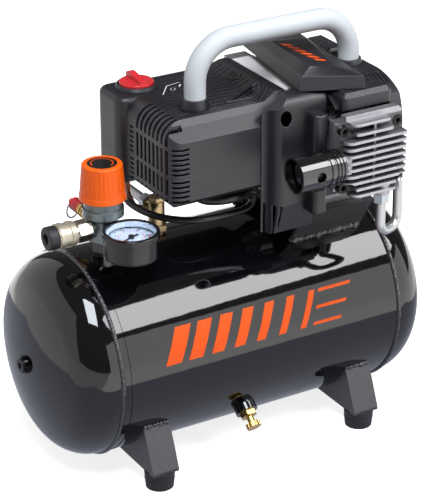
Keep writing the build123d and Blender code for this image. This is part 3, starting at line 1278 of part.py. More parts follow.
def gauge_case():
    """Steel case, open at the top, with its stem towards the regulator."""
    x, y = gauge_centre()
    low, high = GAUGE_TOP - GAUGE_HEIGHT, GAUGE_TOP
    body = rod_z(GAUGE_RADIUS - 1, low, high, x, y)
    body = fillet(body.edges().group_by(Axis.Z)[0], 2.5)
    body -= rod_z(GAUGE_RADIUS - 2.4, high - 9, high + 1, x, y)
    stem = bar_on(port_plane(GAUGE_TURN, REG_PORT_Z), 4.3, gauge_face(), gauge_face() + 6)
    return body + (stem - rod_z(GAUGE_RADIUS - 2, low, high, x, y))


def gauge_bezel():
    """Rolled rim round the glass."""
    x, y = gauge_centre()
    high = GAUGE_TOP
    ring = rod_z(GAUGE_RADIUS + 0.8, high - 4.5, high + 1.2, x, y)
    ring = fillet(ring.edges().group_by(Axis.Z)[-1], 1.2)
    ring -= rod_z(GAUGE_RADIUS - 0.95, high - 8, high + 0.05, x, y)
    return ring - rod_z(GAUGE_RADIUS - 2.6, high - 1, high + 3, x, y)


def gauge_dial():
    """Printed dial plate with the needle's pivot."""
    x, y = gauge_centre()
    plate = rod_z(GAUGE_RADIUS - 2.45, GAUGE_TOP - 9, GAUGE_TOP - 8.2, x, y)
    return plate + rod_z(1.0, GAUGE_TOP - 8.5, GAUGE_TOP - 6.5, x, y)


def gauge_glass():
    """Flat window over the dial."""
    x, y = gauge_centre()
    return rod_z(GAUGE_RADIUS - 2.45, GAUGE_TOP - 2.4, GAUGE_TOP - 0.4, x, y)


def gauge_needle():
    """Pointer with a counterweight tail and a domed hub, at zero."""
    x, y = gauge_centre()
    z = GAUGE_TOP - 7.6
    hub = rod_z(2.8, z, z + 2.4, x, y) - rod_z(1.0 + RUN_GAP, z - 1, z + 1.3, x, y)
    blade_face = make_face(Polyline((-9, -1.3, z), (17, -0.35, z), (17, 0.35, z), (-9, 1.3, z), close=True))
    blade = extrude(blade_face, 0.7, dir=(0, 0, 1))
    blade = Pos(x, y, 0) * Rot(0, 0, NEEDLE_ZERO) * blade
    return hub + (blade - rod_z(1.0 + RUN_GAP, z - 1, z + 1.3, x, y))


def coupler_body():
    """Nickel-plated coupler: thread, hexagon and core with the plug's bore."""
    plane = port_plane(COUPLER_TURN, REG_PORT_Z)
    hex_end = COUPLER_FACE + COUPLER_HEX_LENGTH
    body = bar_on(plane, 4.95, COUPLER_FACE - 8, COUPLER_FACE + 1)
    body += hex_on(plane, 18.5, COUPLER_FACE, hex_end)
    body += bar_on(plane, COUPLER_CORE, hex_end - 1, COUPLER_SLEEVE_END + 4)
    body -= bar_on(plane, COUPLER_BORE, hex_end + 3, COUPLER_SLEEVE_END + 5)
    return body - bar_on(plane, 3, COUPLER_FACE - 9, hex_end + 4)


def coupler_sleeve():
    """Sliding sleeve that releases the plug, stepped and ringed."""
    plane = port_plane(COUPLER_TURN, REG_PORT_Z)
    radius = COUPLER_SLEEVE_RADIUS
    start = COUPLER_FACE + COUPLER_HEX_LENGTH + SLEEVE_TRAVEL + SEAT_GAP
    body = bar_on(plane, radius - 0.9, start, COUPLER_SLEEVE_END)
    for low, high in ((start + 3, start + 5.5), (COUPLER_SLEEVE_END - 6, COUPLER_SLEEVE_END - 1)):
        body += bar_on(plane, radius, low, high)
    return body - bar_on(plane, COUPLER_CORE + RUN_GAP, start - 1, COUPLER_SLEEVE_END + 1)


def coupler_nose():
    """Black protective ring on the coupler's mouth."""
    plane = port_plane(COUPLER_TURN, REG_PORT_Z)
    start = COUPLER_SLEEVE_END + SEAT_GAP
    body = bar_on(plane, 11.3, start, COUPLER_MOUTH)
    body = fillet(body.edges().filter_by(GeomType.CIRCLE), 1.2)
    body -= bar_on(plane, COUPLER_CORE, start - 1, COUPLER_SLEEVE_END + 4)
    return body - bar_on(plane, COUPLER_BORE, start - 1, COUPLER_MOUTH + 1)


def safety_body():
    """Brass safety-valve body: hexagon at its root, ribbed barrel, stem guide."""
    plane = port_plane(SAFETY_TURN, REG_PORT_Z)
    body = hex_on(plane, 15, SAFETY_FACE, SAFETY_FACE + 12)
    body += bar_on(plane, 6, SAFETY_FACE + 11, SAFETY_CAP_START - SEAT_GAP)
    for i in range(3):
        low = SAFETY_FACE + 15 + 4 * i
        body += bar_on(plane, 6.8, low, low + 1.6)
    return body - bar_on(plane, SAFETY_STEM + RUN_GAP, SAFETY_FACE + 10, SAFETY_CAP_START + 1)


def safety_cap():
    """Red cap on the valve's stem; pulling it vents the tank."""
    plane = port_plane(SAFETY_TURN, REG_PORT_Z)
    cap = bar_on(plane, SAFETY_CAP_RADIUS, SAFETY_CAP_START, SAFETY_CAP_END)
    cap = fillet(cap.edges().filter_by(GeomType.CIRCLE), 0.8)
    for i in range(3):
        start = SAFETY_CAP_START + 3 + i * 4
        ring = bar_on(plane, SAFETY_CAP_RADIUS + 1, start, start + 1.2)
        cap -= ring - bar_on(plane, SAFETY_CAP_RADIUS - 0.7, start, start + 1.2)
    cap += bar_on(plane, SAFETY_STEM, SAFETY_FACE + 14, SAFETY_CAP_START + 1)
    cap += bar_on(plane, 2.6, SAFETY_CAP_END - 1, SAFETY_EYE + 2.8)
    return cap - bar_on(ring_axis_plane(), RING_WIRE + 0.75, -8, 8)


def ring_axis_plane():
    """The cross hole at the end of the cap, level and square to the ring's swing."""
    plane = port_plane(SAFETY_TURN, REG_PORT_Z)
    eye = plane.origin + plane.z_dir * SAFETY_EYE
    out = Vector(cos(radians(RING_YAW)), sin(radians(RING_YAW)), 0)
    return Plane(origin=eye, z_dir=out, x_dir=(0, 0, 1))


def safety_ring():
    """Ring of spring wire through the cap's cross hole, hanging down."""
    axis = ring_axis_plane()
    centre = axis.origin + Vector(0, 0, -RING_RADIUS)
    normal = axis.z_dir.cross(Vector(0, 0, 1))
    return Plane(origin=centre, z_dir=normal) * Torus(RING_RADIUS, RING_WIRE)


def cover_screws():
    """Pan-head screws that hold the side cover."""
    solids = []
    for y in (-62, 20):
        head = rod_x(4, SIDE_RIGHT, SIDE_RIGHT + 2.2, y, 300)
        head = fillet(head.edges().group_by(Axis.X)[-1], 1.2)
        plane = Plane(origin=(SIDE_RIGHT + 2.2, y, 300), z_dir=(1, 0, 0))
        for turn in (0, 90):
            head -= plane * Rot(0, 0, turn) * Box(4, 0.9, 2)
        solids.append(head)
    return gather(solids)


# ---------------------------------------------------------------- export
def build():
    shell = cover_shell()
    return {
        "tank_shell": tank_shell(),
        "tank_head_left": tank_head(-1),
        "tank_head_right": tank_head(1),
        "weld_beads": weld_beads(),
        "head_plug": head_plug(),
        "foot_brackets": on_four_corners(foot_bracket()),
        "rubber_feet": on_four_corners(rubber_foot()),
        "pump_saddle": pump_saddle(),
        "fixing_screws": gather([case_screws(), cover_screws()]),
        "drain_boss": drain_boss(),
        "drain_valve": drain_valve(),
        "drain_screw": drain_screw(),
        "check_valve": check_valve(),
        "delivery_tube": delivery_tube(),
        "delivery_nuts": delivery_nuts(),
        "unloader_tube": unloader_tube(),
        "crankcase": crankcase(),
        "motor_sleeve": motor_sleeve(),
        "bearings": bearings(),
        "stator": stator(),
        "windings": windings(),
        "motor_shaft": motor_shaft(),
        "rotor_core": rotor_core(),
        "fan": fan(),
        "eccentric": eccentric(),
        "connecting_rod": connecting_rod(),
        "piston": piston(),
        "cylinder": cylinder(),
        "valve_plate": valve_plate(),
        "cylinder_head": cylinder_head(),
        "head_screws": head_screws(),
        "intake_filter": intake_filter(),
        "filter_core": filter_core(),
        "cover_upper": cover_half(shell, True),
        "cover_lower": cover_half(shell, False),
        "pump_cover": pump_cover(),
        "side_cover": side_cover(),
        "roof_hood": roof_hood(),
        "handle": handle(),
        "handle_collars": handle_collars(),
        "pressure_switch": pressure_switch(),
        "knob_collar": knob_collar(),
        "switch_knob": switch_knob(),
        "cord_gland": cord_gland(),
        "link_lead": link_lead(),
        "outlet_nipple": outlet_nipple(),
        "regulator_body": regulator_body(),
        "regulator_knob": regulator_knob(),
        "regulator_cap": regulator_cap(),
        "gauge_case": gauge_case(),
        "gauge_bezel": gauge_bezel(),
        "gauge_dial": gauge_dial(),
        "gauge_glass": gauge_glass(),
        "gauge_needle": gauge_needle(),
        "coupler_body": coupler_body(),
        "coupler_sleeve": coupler_sleeve(),
        "coupler_nose": coupler_nose(),
        "safety_body": safety_body(),
        "safety_cap": safety_cap(),
        "safety_ring": safety_ring(),
    }


os.makedirs("parts", exist_ok=True)
for node, solid in build().items():
    export_step(solid, f"parts/{node}.step")
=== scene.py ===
import math

import bmesh
import bpy
from mathutils import Matrix, Vector


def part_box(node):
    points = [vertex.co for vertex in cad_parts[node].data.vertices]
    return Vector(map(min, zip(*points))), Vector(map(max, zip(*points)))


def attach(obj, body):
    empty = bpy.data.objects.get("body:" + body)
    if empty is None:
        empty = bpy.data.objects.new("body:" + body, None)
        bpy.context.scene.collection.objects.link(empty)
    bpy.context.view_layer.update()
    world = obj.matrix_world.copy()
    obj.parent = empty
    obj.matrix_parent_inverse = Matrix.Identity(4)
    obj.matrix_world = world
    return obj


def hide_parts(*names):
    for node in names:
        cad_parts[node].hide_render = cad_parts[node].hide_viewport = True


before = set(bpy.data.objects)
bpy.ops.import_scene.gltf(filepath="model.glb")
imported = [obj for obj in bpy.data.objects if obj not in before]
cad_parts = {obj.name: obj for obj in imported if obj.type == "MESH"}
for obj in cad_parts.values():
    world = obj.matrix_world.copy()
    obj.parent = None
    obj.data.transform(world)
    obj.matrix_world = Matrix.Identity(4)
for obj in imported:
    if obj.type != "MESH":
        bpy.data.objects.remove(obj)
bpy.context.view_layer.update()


# ---------------------------------------------------------------- pressure tank
# Rolled steel shell and two pressed heads, joined by girth welds and painted gloss black.
# The enamel is sprayed and baked: a mirror with the faint waviness of orange peel.
def srgb(code):
    """Linear colour of an sRGB hex value."""
    parts = [int(code[i:i + 2], 16) / 255 for i in (1, 3, 5)]
    return [c / 12.92 if c <= 0.04045 else ((c + 0.055) / 1.055) ** 2.4 for c in parts] + [1.0]


def add(material, kind, inputs, **settings):
    """Adds a node; an input that is a socket is linked, anything else is its value."""
    node = material.node_tree.nodes.new(kind)
    for key, value in settings.items():
        setattr(node, key, value)
    for key, value in inputs.items():
        if isinstance(value, bpy.types.NodeSocket):
            material.node_tree.links.new(value, node.inputs[key])
        else:
            node.inputs[key].default_value = value
    return node


def start(name):
    """A new empty material, and the socket of its object coordinates."""
    material = bpy.data.materials.new(name)
    material.use_nodes = True
    material.node_tree.nodes.clear()
    return material, add(material, "ShaderNodeTexCoord", {}).outputs["Object"]


def dress(material, surface, *names):
    """Ends a material in its surface shader and gives it to CAD nodes."""
    add(material, "ShaderNodeOutputMaterial", {"Surface": surface})
    for name in names:
        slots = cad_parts[name].data.materials
        slots.clear()
        slots.append(material)


enamel, place = start("gloss_black_enamel")
peel = add(enamel, "ShaderNodeTexNoise", {"Vector": place, "Scale": 1000 / 14, "Detail": 1.0})
tint = add(enamel, "ShaderNodeTexNoise", {"Vector": place, "Scale": 1000 / 60, "Detail": 3.0})
shade = add(enamel, "ShaderNodeMix", {0: tint.outputs["Fac"], 6: srgb("#050507"), 7: srgb("#0b0b0e")},
            data_type="RGBA")
haze = add(enamel, "ShaderNodeMapRange", {"Value": tint.outputs["Fac"], "To Min": 0.035, "To Max": 0.07})
wave = add(enamel, "ShaderNodeBump", {"Height": peel.outputs["Fac"], "Strength": 1.0, "Distance": 0.00006})
paint = add(enamel, "ShaderNodeBsdfPrincipled", {
    "Base Color": shade.outputs[2], "Roughness": haze.outputs["Result"], "IOR": 1.6,
    "Normal": wave.outputs["Normal"]})
dress(enamel, paint.outputs["BSDF"], "tank_shell", "tank_head_left", "tank_head_right", "drain_boss",
      "outlet_nipple")


# ---------------------------------------------------------------- welded parts
# Pressed saddle, foot brackets and the girth welds, under the same baked enamel.
# The sheet keeps a satin tone, and the weld metal its ripples and spatter.
satin, place = start("black_enamel_on_pressed_sheet")
grain = add(satin, "ShaderNodeTexNoise", {"Vector": place, "Scale": 1000 / 3, "Detail": 3.0})
worn = add(satin, "ShaderNodeMix", {0: grain.outputs["Fac"], 6: srgb("#3a3a3e"), 7: srgb("#4e4d50")},
           data_type="RGBA")
dull = add(satin, "ShaderNodeMapRange", {"Value": grain.outputs["Fac"], "To Min": 0.26, "To Max": 0.4})
soft = add(satin, "ShaderNodeBevel", {"Radius": 0.0006}, samples=4)
wave = add(satin, "ShaderNodeBump", {
    "Height": grain.outputs["Fac"], "Strength": 0.6, "Distance": 0.00005, "Normal": soft.outputs["Normal"]})
paint = add(satin, "ShaderNodeBsdfPrincipled", {
    "Base Color": worn.outputs[2], "Roughness": dull.outputs["Result"], "IOR": 1.5,
    "Normal": wave.outputs["Normal"]})
dress(satin, paint.outputs["BSDF"], "foot_brackets", "pump_saddle")

weld, place = start("painted_weld_metal")
ripple = add(weld, "ShaderNodeTexVoronoi", {"Vector": place, "Scale": 1000 / 3.2})
spatter = add(weld, "ShaderNodeTexNoise", {"Vector": place, "Scale": 1000 / 1.2, "Detail": 2.0})
lump = add(weld, "ShaderNodeMath", {0: ripple.outputs["Distance"], 1: spatter.outputs["Fac"]},
           operation="ADD")
tone = add(weld, "ShaderNodeMix", {0: spatter.outputs["Fac"], 6: srgb("#161619"), 7: srgb("#3a3a3e")},
           data_type="RGBA")
wave = add(weld, "ShaderNodeBump", {"Height": lump.outputs["Value"], "Strength": 1.0, "Distance": 0.0007})
paint = add(weld, "ShaderNodeBsdfPrincipled", {
    "Base Color": tone.outputs[2], "Roughness": 0.14, "IOR": 1.75, "Normal": wave.outputs["Normal"]})
dress(weld, paint.outputs["BSDF"], "weld_beads")

TANK_AXIS = 0.112
TANK_RADIUS = 0.100
BEAD_STEP = 0.0026         # one weld ripple
SADDLE_FOOT_HALF = 0.050   # the saddle's feet from the tank's middle plane
SADDLE_LEFT = 0.0575
SADDLE_SEAM = 0.078        # length of the weld along a foot
FOOT_X = 0.114             # the feet from the tank's middle, along it


def piece(name, mesh_maker, material, body, smooth=True):
    """A new object from a bmesh, finished in a material and riding on a body."""
    mesh = bpy.data.meshes.new(name)
    mesh_maker.to_mesh(mesh)
    mesh_maker.free()
    obj = bpy.data.objects.new(name, mesh)
    bpy.context.scene.collection.objects.link(obj)
    mesh.materials.append(material)
    for face in mesh.polygons:
        face.use_smooth = smooth
    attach(obj, body)
    return obj


def on_tank(x, angle, lift=0.0):
    """A point on the tank's front, the angle measured upwards from level."""
    reach = TANK_RADIUS + lift
    return Vector((x, -reach * math.cos(angle), TANK_AXIS + reach * math.sin(angle)))


def bead_run(bm, points, radius, seed):
    """Overlapping drops of weld metal along a line of points."""
    for i, point in enumerate(points):
        uneven = 0.82 + 0.3 * abs(math.sin(seed + i * 2.39)) + 0.12 * math.sin(i * 0.71 + seed)
        drop = bmesh.ops.create_uvsphere(bm, u_segments=8, v_segments=6, radius=radius * uneven)
        drift = Vector((math.sin(i * 5.1 + seed), math.cos(i * 3.7), 0)) * radius * 0.22
        bmesh.ops.translate(bm, verts=drop["verts"], vec=Vector(point) + drift)


# the saddle's two feet are welded along their whole length
run = bmesh.new()
foot = math.acos(SADDLE_FOOT_HALF / TANK_RADIUS)
for side in (-1, 1):
    line = []
    for i in range(int(SADDLE_SEAM / BEAD_STEP)):
        p = on_tank(SADDLE_LEFT + i * BEAD_STEP, foot - 0.014, 0.0012)
        line.append((p.x, p.y * -side, p.z))
    bead_run(run, line, 0.0036, 1.3 + side)
piece("saddle_welds", run, weld, "frame")

# short fillets hold each foot bracket's front plate
run = bmesh.new()
for x in (-FOOT_X, FOOT_X):
    for side in (-1, 1):
        line = []
        for i in range(10):
            line.append((x - 0.0118 + i * BEAD_STEP, side * 0.0872, 0.0628))
        bead_run(run, line, 0.0024, 0.4 + x * 30 + side)
piece("bracket_welds", run, weld, "frame")


# ---------------------------------------------------------------- tank stripes
# A generic decoration in orange vinyl film: slanted bars that grow thinner, and three short rules.
# The film is cut flat and rolled on to the round shell, and has a satin face.
film, place = start("orange_vinyl_film")
grain = add(film, "ShaderNodeTexNoise", {"Vector": place, "Scale": 1000 / 5, "Detail": 2.0})
shade = add(film, "ShaderNodeMix", {0: grain.outputs["Fac"], 6: srgb("#e04a00"), 7: srgb("#f05a00")},
            data_type="RGBA")
wave = add(film, "ShaderNodeBump", {"Height": grain.outputs["Fac"], "Strength": 0.5, "Distance": 0.00003})
vinyl = add(film, "ShaderNodeBsdfPrincipled", {
    "Base Color": shade.outputs[2], "Roughness": 0.34, "IOR": 1.42, "Normal": wave.outputs["Normal"]})
dress(film, vinyl.outputs["BSDF"])

STRIPE_LOW = math.radians(9.5)
STRIPE_HIGH = math.radians(29.0)
STRIPE_LIFT = 0.00012
STRIPE_SLANT = 0.016       # how far a bar leans over its height
BAR_STEP = 0.0246
BAR_WIDTH = 0.0170
BAR_TAPER = 0.0017         # each bar is this much thinner than the last
RULE_LEAN = 0.0016


def film_bar(bm, left, right, low, high, slant):
    """A flat bar of film, laid on the round shell."""
    made = bmesh.ops.create_grid(bm, x_segments=max(2, int((right - left) / 0.006)), y_segments=10, size=0.5)
    for vert in made["verts"]:
        across, up = vert.co.x + 0.5, vert.co.y + 0.5
        x = left + (right - left) * across + slant * up
        vert.co = on_tank(x, low + (high - low) * up, STRIPE_LIFT)


bars = bmesh.new()
for i in range(7):
    left = -0.109 + i * BAR_STEP
    film_bar(bars, left, left + BAR_WIDTH - i * BAR_TAPER, STRIPE_LOW, STRIPE_HIGH, STRIPE_SLANT)
film_bar(bars, 0.0640, 0.1010, STRIPE_HIGH - 0.030, STRIPE_HIGH, RULE_LEAN)
film_bar(bars, 0.0585, 0.0930, STRIPE_LOW + 0.155, STRIPE_LOW + 0.185, RULE_LEAN)
film_bar(bars, 0.0530, 0.0850, STRIPE_LOW, STRIPE_LOW + 0.030, RULE_LEAN)
bmesh.ops.recalc_face_normals(bars, faces=bars.faces)
piece("tank_stripes", bars, film, "frame")


# ---------------------------------------------------------------- rubber feet
# Four moulded nitrile rubber feet, bolted up into the brackets.
# Rubber is dark grey and dull, with a bloom that lightens it in patches.
rubber, place = start("moulded_nitrile_rubber")
bloom = add(rubber, "ShaderNodeTexNoise", {"Vector": place, "Scale": 1000 / 8, "Detail": 4.0})
grit = add(rubber, "ShaderNodeTexNoise", {"Vector": place, "Scale": 1000 / 0.7, "Detail": 1.0})
shade = add(rubber, "ShaderNodeMix", {0: bloom.outputs["Fac"], 6: srgb("#151518"), 7: srgb("#232327")},
            data_type="RGBA")
soft = add(rubber, "ShaderNodeBevel", {"Radius": 0.001}, samples=4)
wave = add(rubber, "ShaderNodeBump", {
    "Height": grit.outputs["Fac"], "Strength": 0.4, "Distance": 0.00008, "Normal": soft.outputs["Normal"]})
body = add(rubber, "ShaderNodeBsdfPrincipled", {
    "Base Color": shade.outputs[2], "Roughness": 0.55, "IOR": 1.52, "Normal": wave.outputs["Normal"]})
dress(rubber, body.outputs["BSDF"], "rubber_feet", "coupler_nose")

# a moulding flash line runs round each foot
FOOT_Y = 0.093
FOOT_RADIUS = 0.01425
FLASH_HEIGHT = 0.009
for number, (x, y) in enumerate(((-FOOT_X, -FOOT_Y), (FOOT_X, -FOOT_Y), (-FOOT_X, FOOT_Y), (FOOT_X, FOOT_Y))):
    flash = bmesh.new()
    ring = bmesh.ops.create_circle(flash, segments=8, radius=0.00035)
    bmesh.ops.rotate(flash, verts=ring["verts"], cent=(0, 0, 0), matrix=Matrix.Rotation(math.pi / 2, 3, "X"))
    bmesh.ops.translate(flash, verts=ring["verts"], vec=(x + FOOT_RADIUS, y, FLASH_HEIGHT))
    bmesh.ops.spin(flash, geom=flash.verts[:] + flash.edges[:], cent=(x, y, 0), axis=(0, 0, 1),
                   angle=math.tau, steps=40, use_merge=True)
    bmesh.ops.recalc_face_normals(flash, faces=flash.faces)
    piece(f"foot_flash_line_{number}", flash, rubber, "frame")


# ---------------------------------------------------------------- plated steel
# Screws, shaft, bearing rings, union nuts and the vent's pull ring, in bright zinc plate.
# The passivated plate is silvery, a little cloudy, with a trace of blue.
zinc, place = start("zinc_plated_steel")
cloud = add(zinc, "ShaderNodeTexNoise", {"Vector": place, "Scale": 1000 / 3, "Detail": 3.0})
shade = add(zinc, "ShaderNodeMix", {0: cloud.outputs["Fac"], 6: srgb("#969ea4"), 7: srgb("#b4bbbf")},
            data_type="RGBA")
dull = add(zinc, "ShaderNodeMapRange", {"Value": cloud.outputs["Fac"], "To Min": 0.2, "To Max": 0.36})
soft = add(zinc, "ShaderNodeBevel", {"Radius": 0.0003}, samples=4)
metal = add(zinc, "ShaderNodeBsdfPrincipled", {
    "Base Color": shade.outputs[2], "Metallic": 1.0, "Roughness": dull.outputs["Result"],
    "Normal": soft.outputs["Normal"]})
dress(zinc, metal.outputs["BSDF"], "fixing_screws", "motor_shaft", "bearings", "safety_ring",
      "delivery_nuts")

# the head's socket screws and the tank's plug are blackened and oiled instead
oxide, place = start("black_oxide_steel")
cloud = add(oxide, "ShaderNodeTexNoise", {"Vector": place, "Scale": 1000 / 2, "Detail": 3.0})
shade = add(oxide, "ShaderNodeMix", {0: cloud.outputs["Fac"], 6: srgb("#161618"), 7: srgb("#2e2e31")},
            data_type="RGBA")
soft = add(oxide, "ShaderNodeBevel", {"Radius": 0.0004}, samples=4)
metal = add(oxide, "ShaderNodeBsdfPrincipled", {
    "Base Color": shade.outputs[2], "Metallic": 0.55, "Roughness": 0.3, "Normal": soft.outputs["Normal"]})
dress(oxide, metal.outputs["BSDF"], "head_screws", "head_plug")


# ---------------------------------------------------------------- brass fittings
# Drain valve, safety valve and check valve, in bare brass.
# Machined brass keeps fine turning lines and darkens a little in patches.
brass, place = start("turned_brass")
stain = add(brass, "ShaderNodeTexNoise", {"Vector": place, "Scale": 1000 / 6, "Detail": 4.0})
turning = add(brass, "ShaderNodeTexNoise", {"Vector": place, "Scale": 1000 / 0.5, "Detail": 1.0})
shade = add(brass, "ShaderNodeMix", {0: stain.outputs["Fac"], 6: srgb("#b98f45"), 7: srgb("#dcc184")},
            data_type="RGBA")
dull = add(brass, "ShaderNodeMapRange", {"Value": stain.outputs["Fac"], "To Min": 0.16, "To Max": 0.34})
soft = add(brass, "ShaderNodeBevel", {"Radius": 0.0003}, samples=4)
wave = add(brass, "ShaderNodeBump", {
    "Height": turning.outputs["Fac"], "Strength": 0.3, "Distance": 0.00004, "Normal": soft.outputs["Normal"]})
metal = add(brass, "ShaderNodeBsdfPrincipled", {
    "Base Color": shade.outputs[2], "Metallic": 1.0, "Roughness": dull.outputs["Result"],
    "Normal": wave.outputs["Normal"]})
dress(brass, metal.outputs["BSDF"], "drain_valve", "drain_screw", "safety_body")

# the check valve's casting is a paler, tumbled brass
tumbled, place = start("tumbled_brass")
cloud = add(tumbled, "ShaderNodeTexNoise", {"Vector": place, "Scale": 1000 / 4, "Detail": 4.0})
shade = add(tumbled, "ShaderNodeMix", {0: cloud.outputs["Fac"], 6: srgb("#a08a62"), 7: srgb("#cdb78f")},
            data_type="RGBA")
soft = add(tumbled, "ShaderNodeBevel", {"Radius": 0.0006}, samples=4)
metal = add(tumbled, "ShaderNodeBsdfPrincipled", {
    "Base Color": shade.outputs[2], "Metallic": 0.9, "Roughness": 0.3, "Normal": soft.outputs["Normal"]})
dress(tumbled, metal.outputs["BSDF"], "check_valve")


# Drawing leaves a satin skin with faint marks, and bending stretches it matt.
drawn, place = start("drawn_aluminium_tube")
skin = add(drawn, "ShaderNodeTexNoise", {"Vector": place, "Scale": 1000 / 4, "Detail": 4.0})
shade = add(drawn, "ShaderNodeMix", {0: skin.outputs["Fac"], 6: srgb("#a4a6a8"), 7: srgb("#c2c4c4")},
            data_type="RGBA")
dull = add(drawn, "ShaderNodeMapRange", {"Value": skin.outputs["Fac"], "To Min": 0.28, "To Max": 0.42})
wave = add(drawn, "ShaderNodeBump", {"Height": skin.outputs["Fac"], "Strength": 0.4, "Distance": 0.00006})
metal = add(drawn, "ShaderNodeBsdfPrincipled", {
    "Base Color": shade.outputs[2], "Metallic": 0.85, "Roughness": dull.outputs["Result"],
    "Normal": wave.outputs["Normal"]})
dress(drawn, metal.outputs["BSDF"], "delivery_tube")

# drawn copper, lacquered: the thin relief tube and the motor's windings
copper, place = start("lacquered_copper")
cloud = add(copper, "ShaderNodeTexNoise", {"Vector": place, "Scale": 1000 / 4, "Detail": 3.0})
wire = add(copper, "ShaderNodeTexWave", {
    "Vector": place, "Scale": 1000 / 0.8 / math.tau, "Distortion": 2.0}, bands_direction="X")
shade = add(copper, "ShaderNodeMix", {0: cloud.outputs["Fac"], 6: srgb("#8c4a2a"), 7: srgb("#c27a4c")},
            data_type="RGBA")
wave = add(copper, "ShaderNodeBump", {"Height": wire.outputs["Fac"], "Strength": 0.5, "Distance": 0.0001})
metal = add(copper, "ShaderNodeBsdfPrincipled", {
    "Base Color": shade.outputs[2], "Metallic": 1.0, "Roughness": 0.32, "Normal": wave.outputs["Normal"]})
dress(copper, metal.outputs["BSDF"], "unloader_tube", "windings")


# ---------------------------------------------------------------- pump and motor
# Die-cast aluminium crankcase, cylinder, finned head and motor sleeve.
# The castings are shot-blasted: pale grey, softly shining, with a fine grain.
cast, place = start("shot_blasted_cast_aluminium")
cloud = add(cast, "ShaderNodeTexNoise", {"Vector": place, "Scale": 1000 / 12, "Detail": 4.0})
grain = add(cast, "ShaderNodeTexNoise", {"Vector": place, "Scale": 1000 / 0.9, "Detail": 2.0})
shade = add(cast, "ShaderNodeMix", {0: cloud.outputs["Fac"], 6: srgb("#97969a"), 7: srgb("#b7b6ba")},
            data_type="RGBA")
dull = add(cast, "ShaderNodeMapRange", {"Value": grain.outputs["Fac"], "To Min": 0.36, "To Max": 0.52})
soft = add(cast, "ShaderNodeBevel", {"Radius": 0.0006}, samples=4)
wave = add(cast, "ShaderNodeBump", {
    "Height": grain.outputs["Fac"], "Strength": 0.5, "Distance": 0.00012, "Normal": soft.outputs["Normal"]})
# painted shade between the head's fins, darker towards their roots
depth = add(cast, "ShaderNodeSeparateXYZ", {"Vector": place})
root = add(cast, "ShaderNodeMapRange", {
    "Value": depth.outputs["Y"], "From Min": -0.1305, "From Max": -0.1215, "To Min": 0.0, "To Max": 0.8})
plate_front = add(cast, "ShaderNodeMapRange", {
    "Value": depth.outputs["Y"], "From Min": -0.1198, "From Max": -0.1190, "To Min": 1.0, "To Max": 0.0})
head_rim = add(cast, "ShaderNodeMapRange", {
    "Value": depth.outputs["Z"], "From Min": 0.3405, "From Max": 0.3425, "To Min": 1.0, "To Max": 0.0})
fin_gap_shade = add(cast, "ShaderNodeMath", {0: root.outputs["Result"], 1: plate_front.outputs["Result"]},
           operation="MULTIPLY")
fin_gap_shade = add(cast, "ShaderNodeMath", {0: fin_gap_shade.outputs["Value"], 1: head_rim.outputs["Result"]},
           operation="MULTIPLY")
shade = add(cast, "ShaderNodeMix", {0: fin_gap_shade.outputs["Value"], 6: shade.outputs[2], 7: srgb("#3c3b3d")},
            data_type="RGBA")
metal = add(cast, "ShaderNodeBsdfPrincipled", {
    "Base Color": shade.outputs[2], "Metallic": 0.85, "Roughness": dull.outputs["Result"],
    "Normal": wave.outputs["Normal"]})
dress(cast, metal.outputs["BSDF"], "cylinder_head", "cylinder", "valve_plate", "crankcase",
      "motor_sleeve", "connecting_rod", "piston")

# varnished laminations and blued steel inside the motor
iron, place = start("varnished_laminations")
sheets = add(iron, "ShaderNodeTexWave", {
    "Vector": place, "Scale": 1000 / 1.0 / math.tau, "Distortion": 0.4}, bands_direction="X")
shade = add(iron, "ShaderNodeMix", {0: sheets.outputs["Fac"], 6: srgb("#2b2a2c"), 7: srgb("#56545a")},
            data_type="RGBA")
wave = add(iron, "ShaderNodeBump", {"Height": sheets.outputs["Fac"], "Strength": 0.6, "Distance": 0.0001})
metal = add(iron, "ShaderNodeBsdfPrincipled", {
    "Base Color": shade.outputs[2], "Metallic": 0.8, "Roughness": 0.42, "Normal": wave.outputs["Normal"]})
dress(iron, metal.outputs["BSDF"], "stator", "rotor_core", "eccentric")


# ---------------------------------------------------------------- covers
# Injection-moulded glass-filled polyamide: motor cover, pump cover, side cover and hood.
# A spark-eroded mould gives a fine leather-like grain with a dull sheen, which is dimmed in the grooves as
# painted shade.
nylon, place = start("textured_black_polyamide")
cloud = add(nylon, "ShaderNodeTexNoise", {"Vector": place, "Scale": 1000 / 25, "Detail": 3.0})
grain = add(nylon, "ShaderNodeTexNoise", {"Vector": place, "Scale": 1000 / 1.4, "Detail": 3.0})
shade = add(nylon, "ShaderNodeMix", {0: cloud.outputs["Fac"], 6: srgb("#121216"), 7: srgb("#1b1b22")},
            data_type="RGBA")
dull = add(nylon, "ShaderNodeMapRange", {"Value": grain.outputs["Fac"], "To Min": 0.36, "To Max": 0.5})
soft = add(nylon, "ShaderNodeBevel", {"Radius": 0.0008}, samples=4)
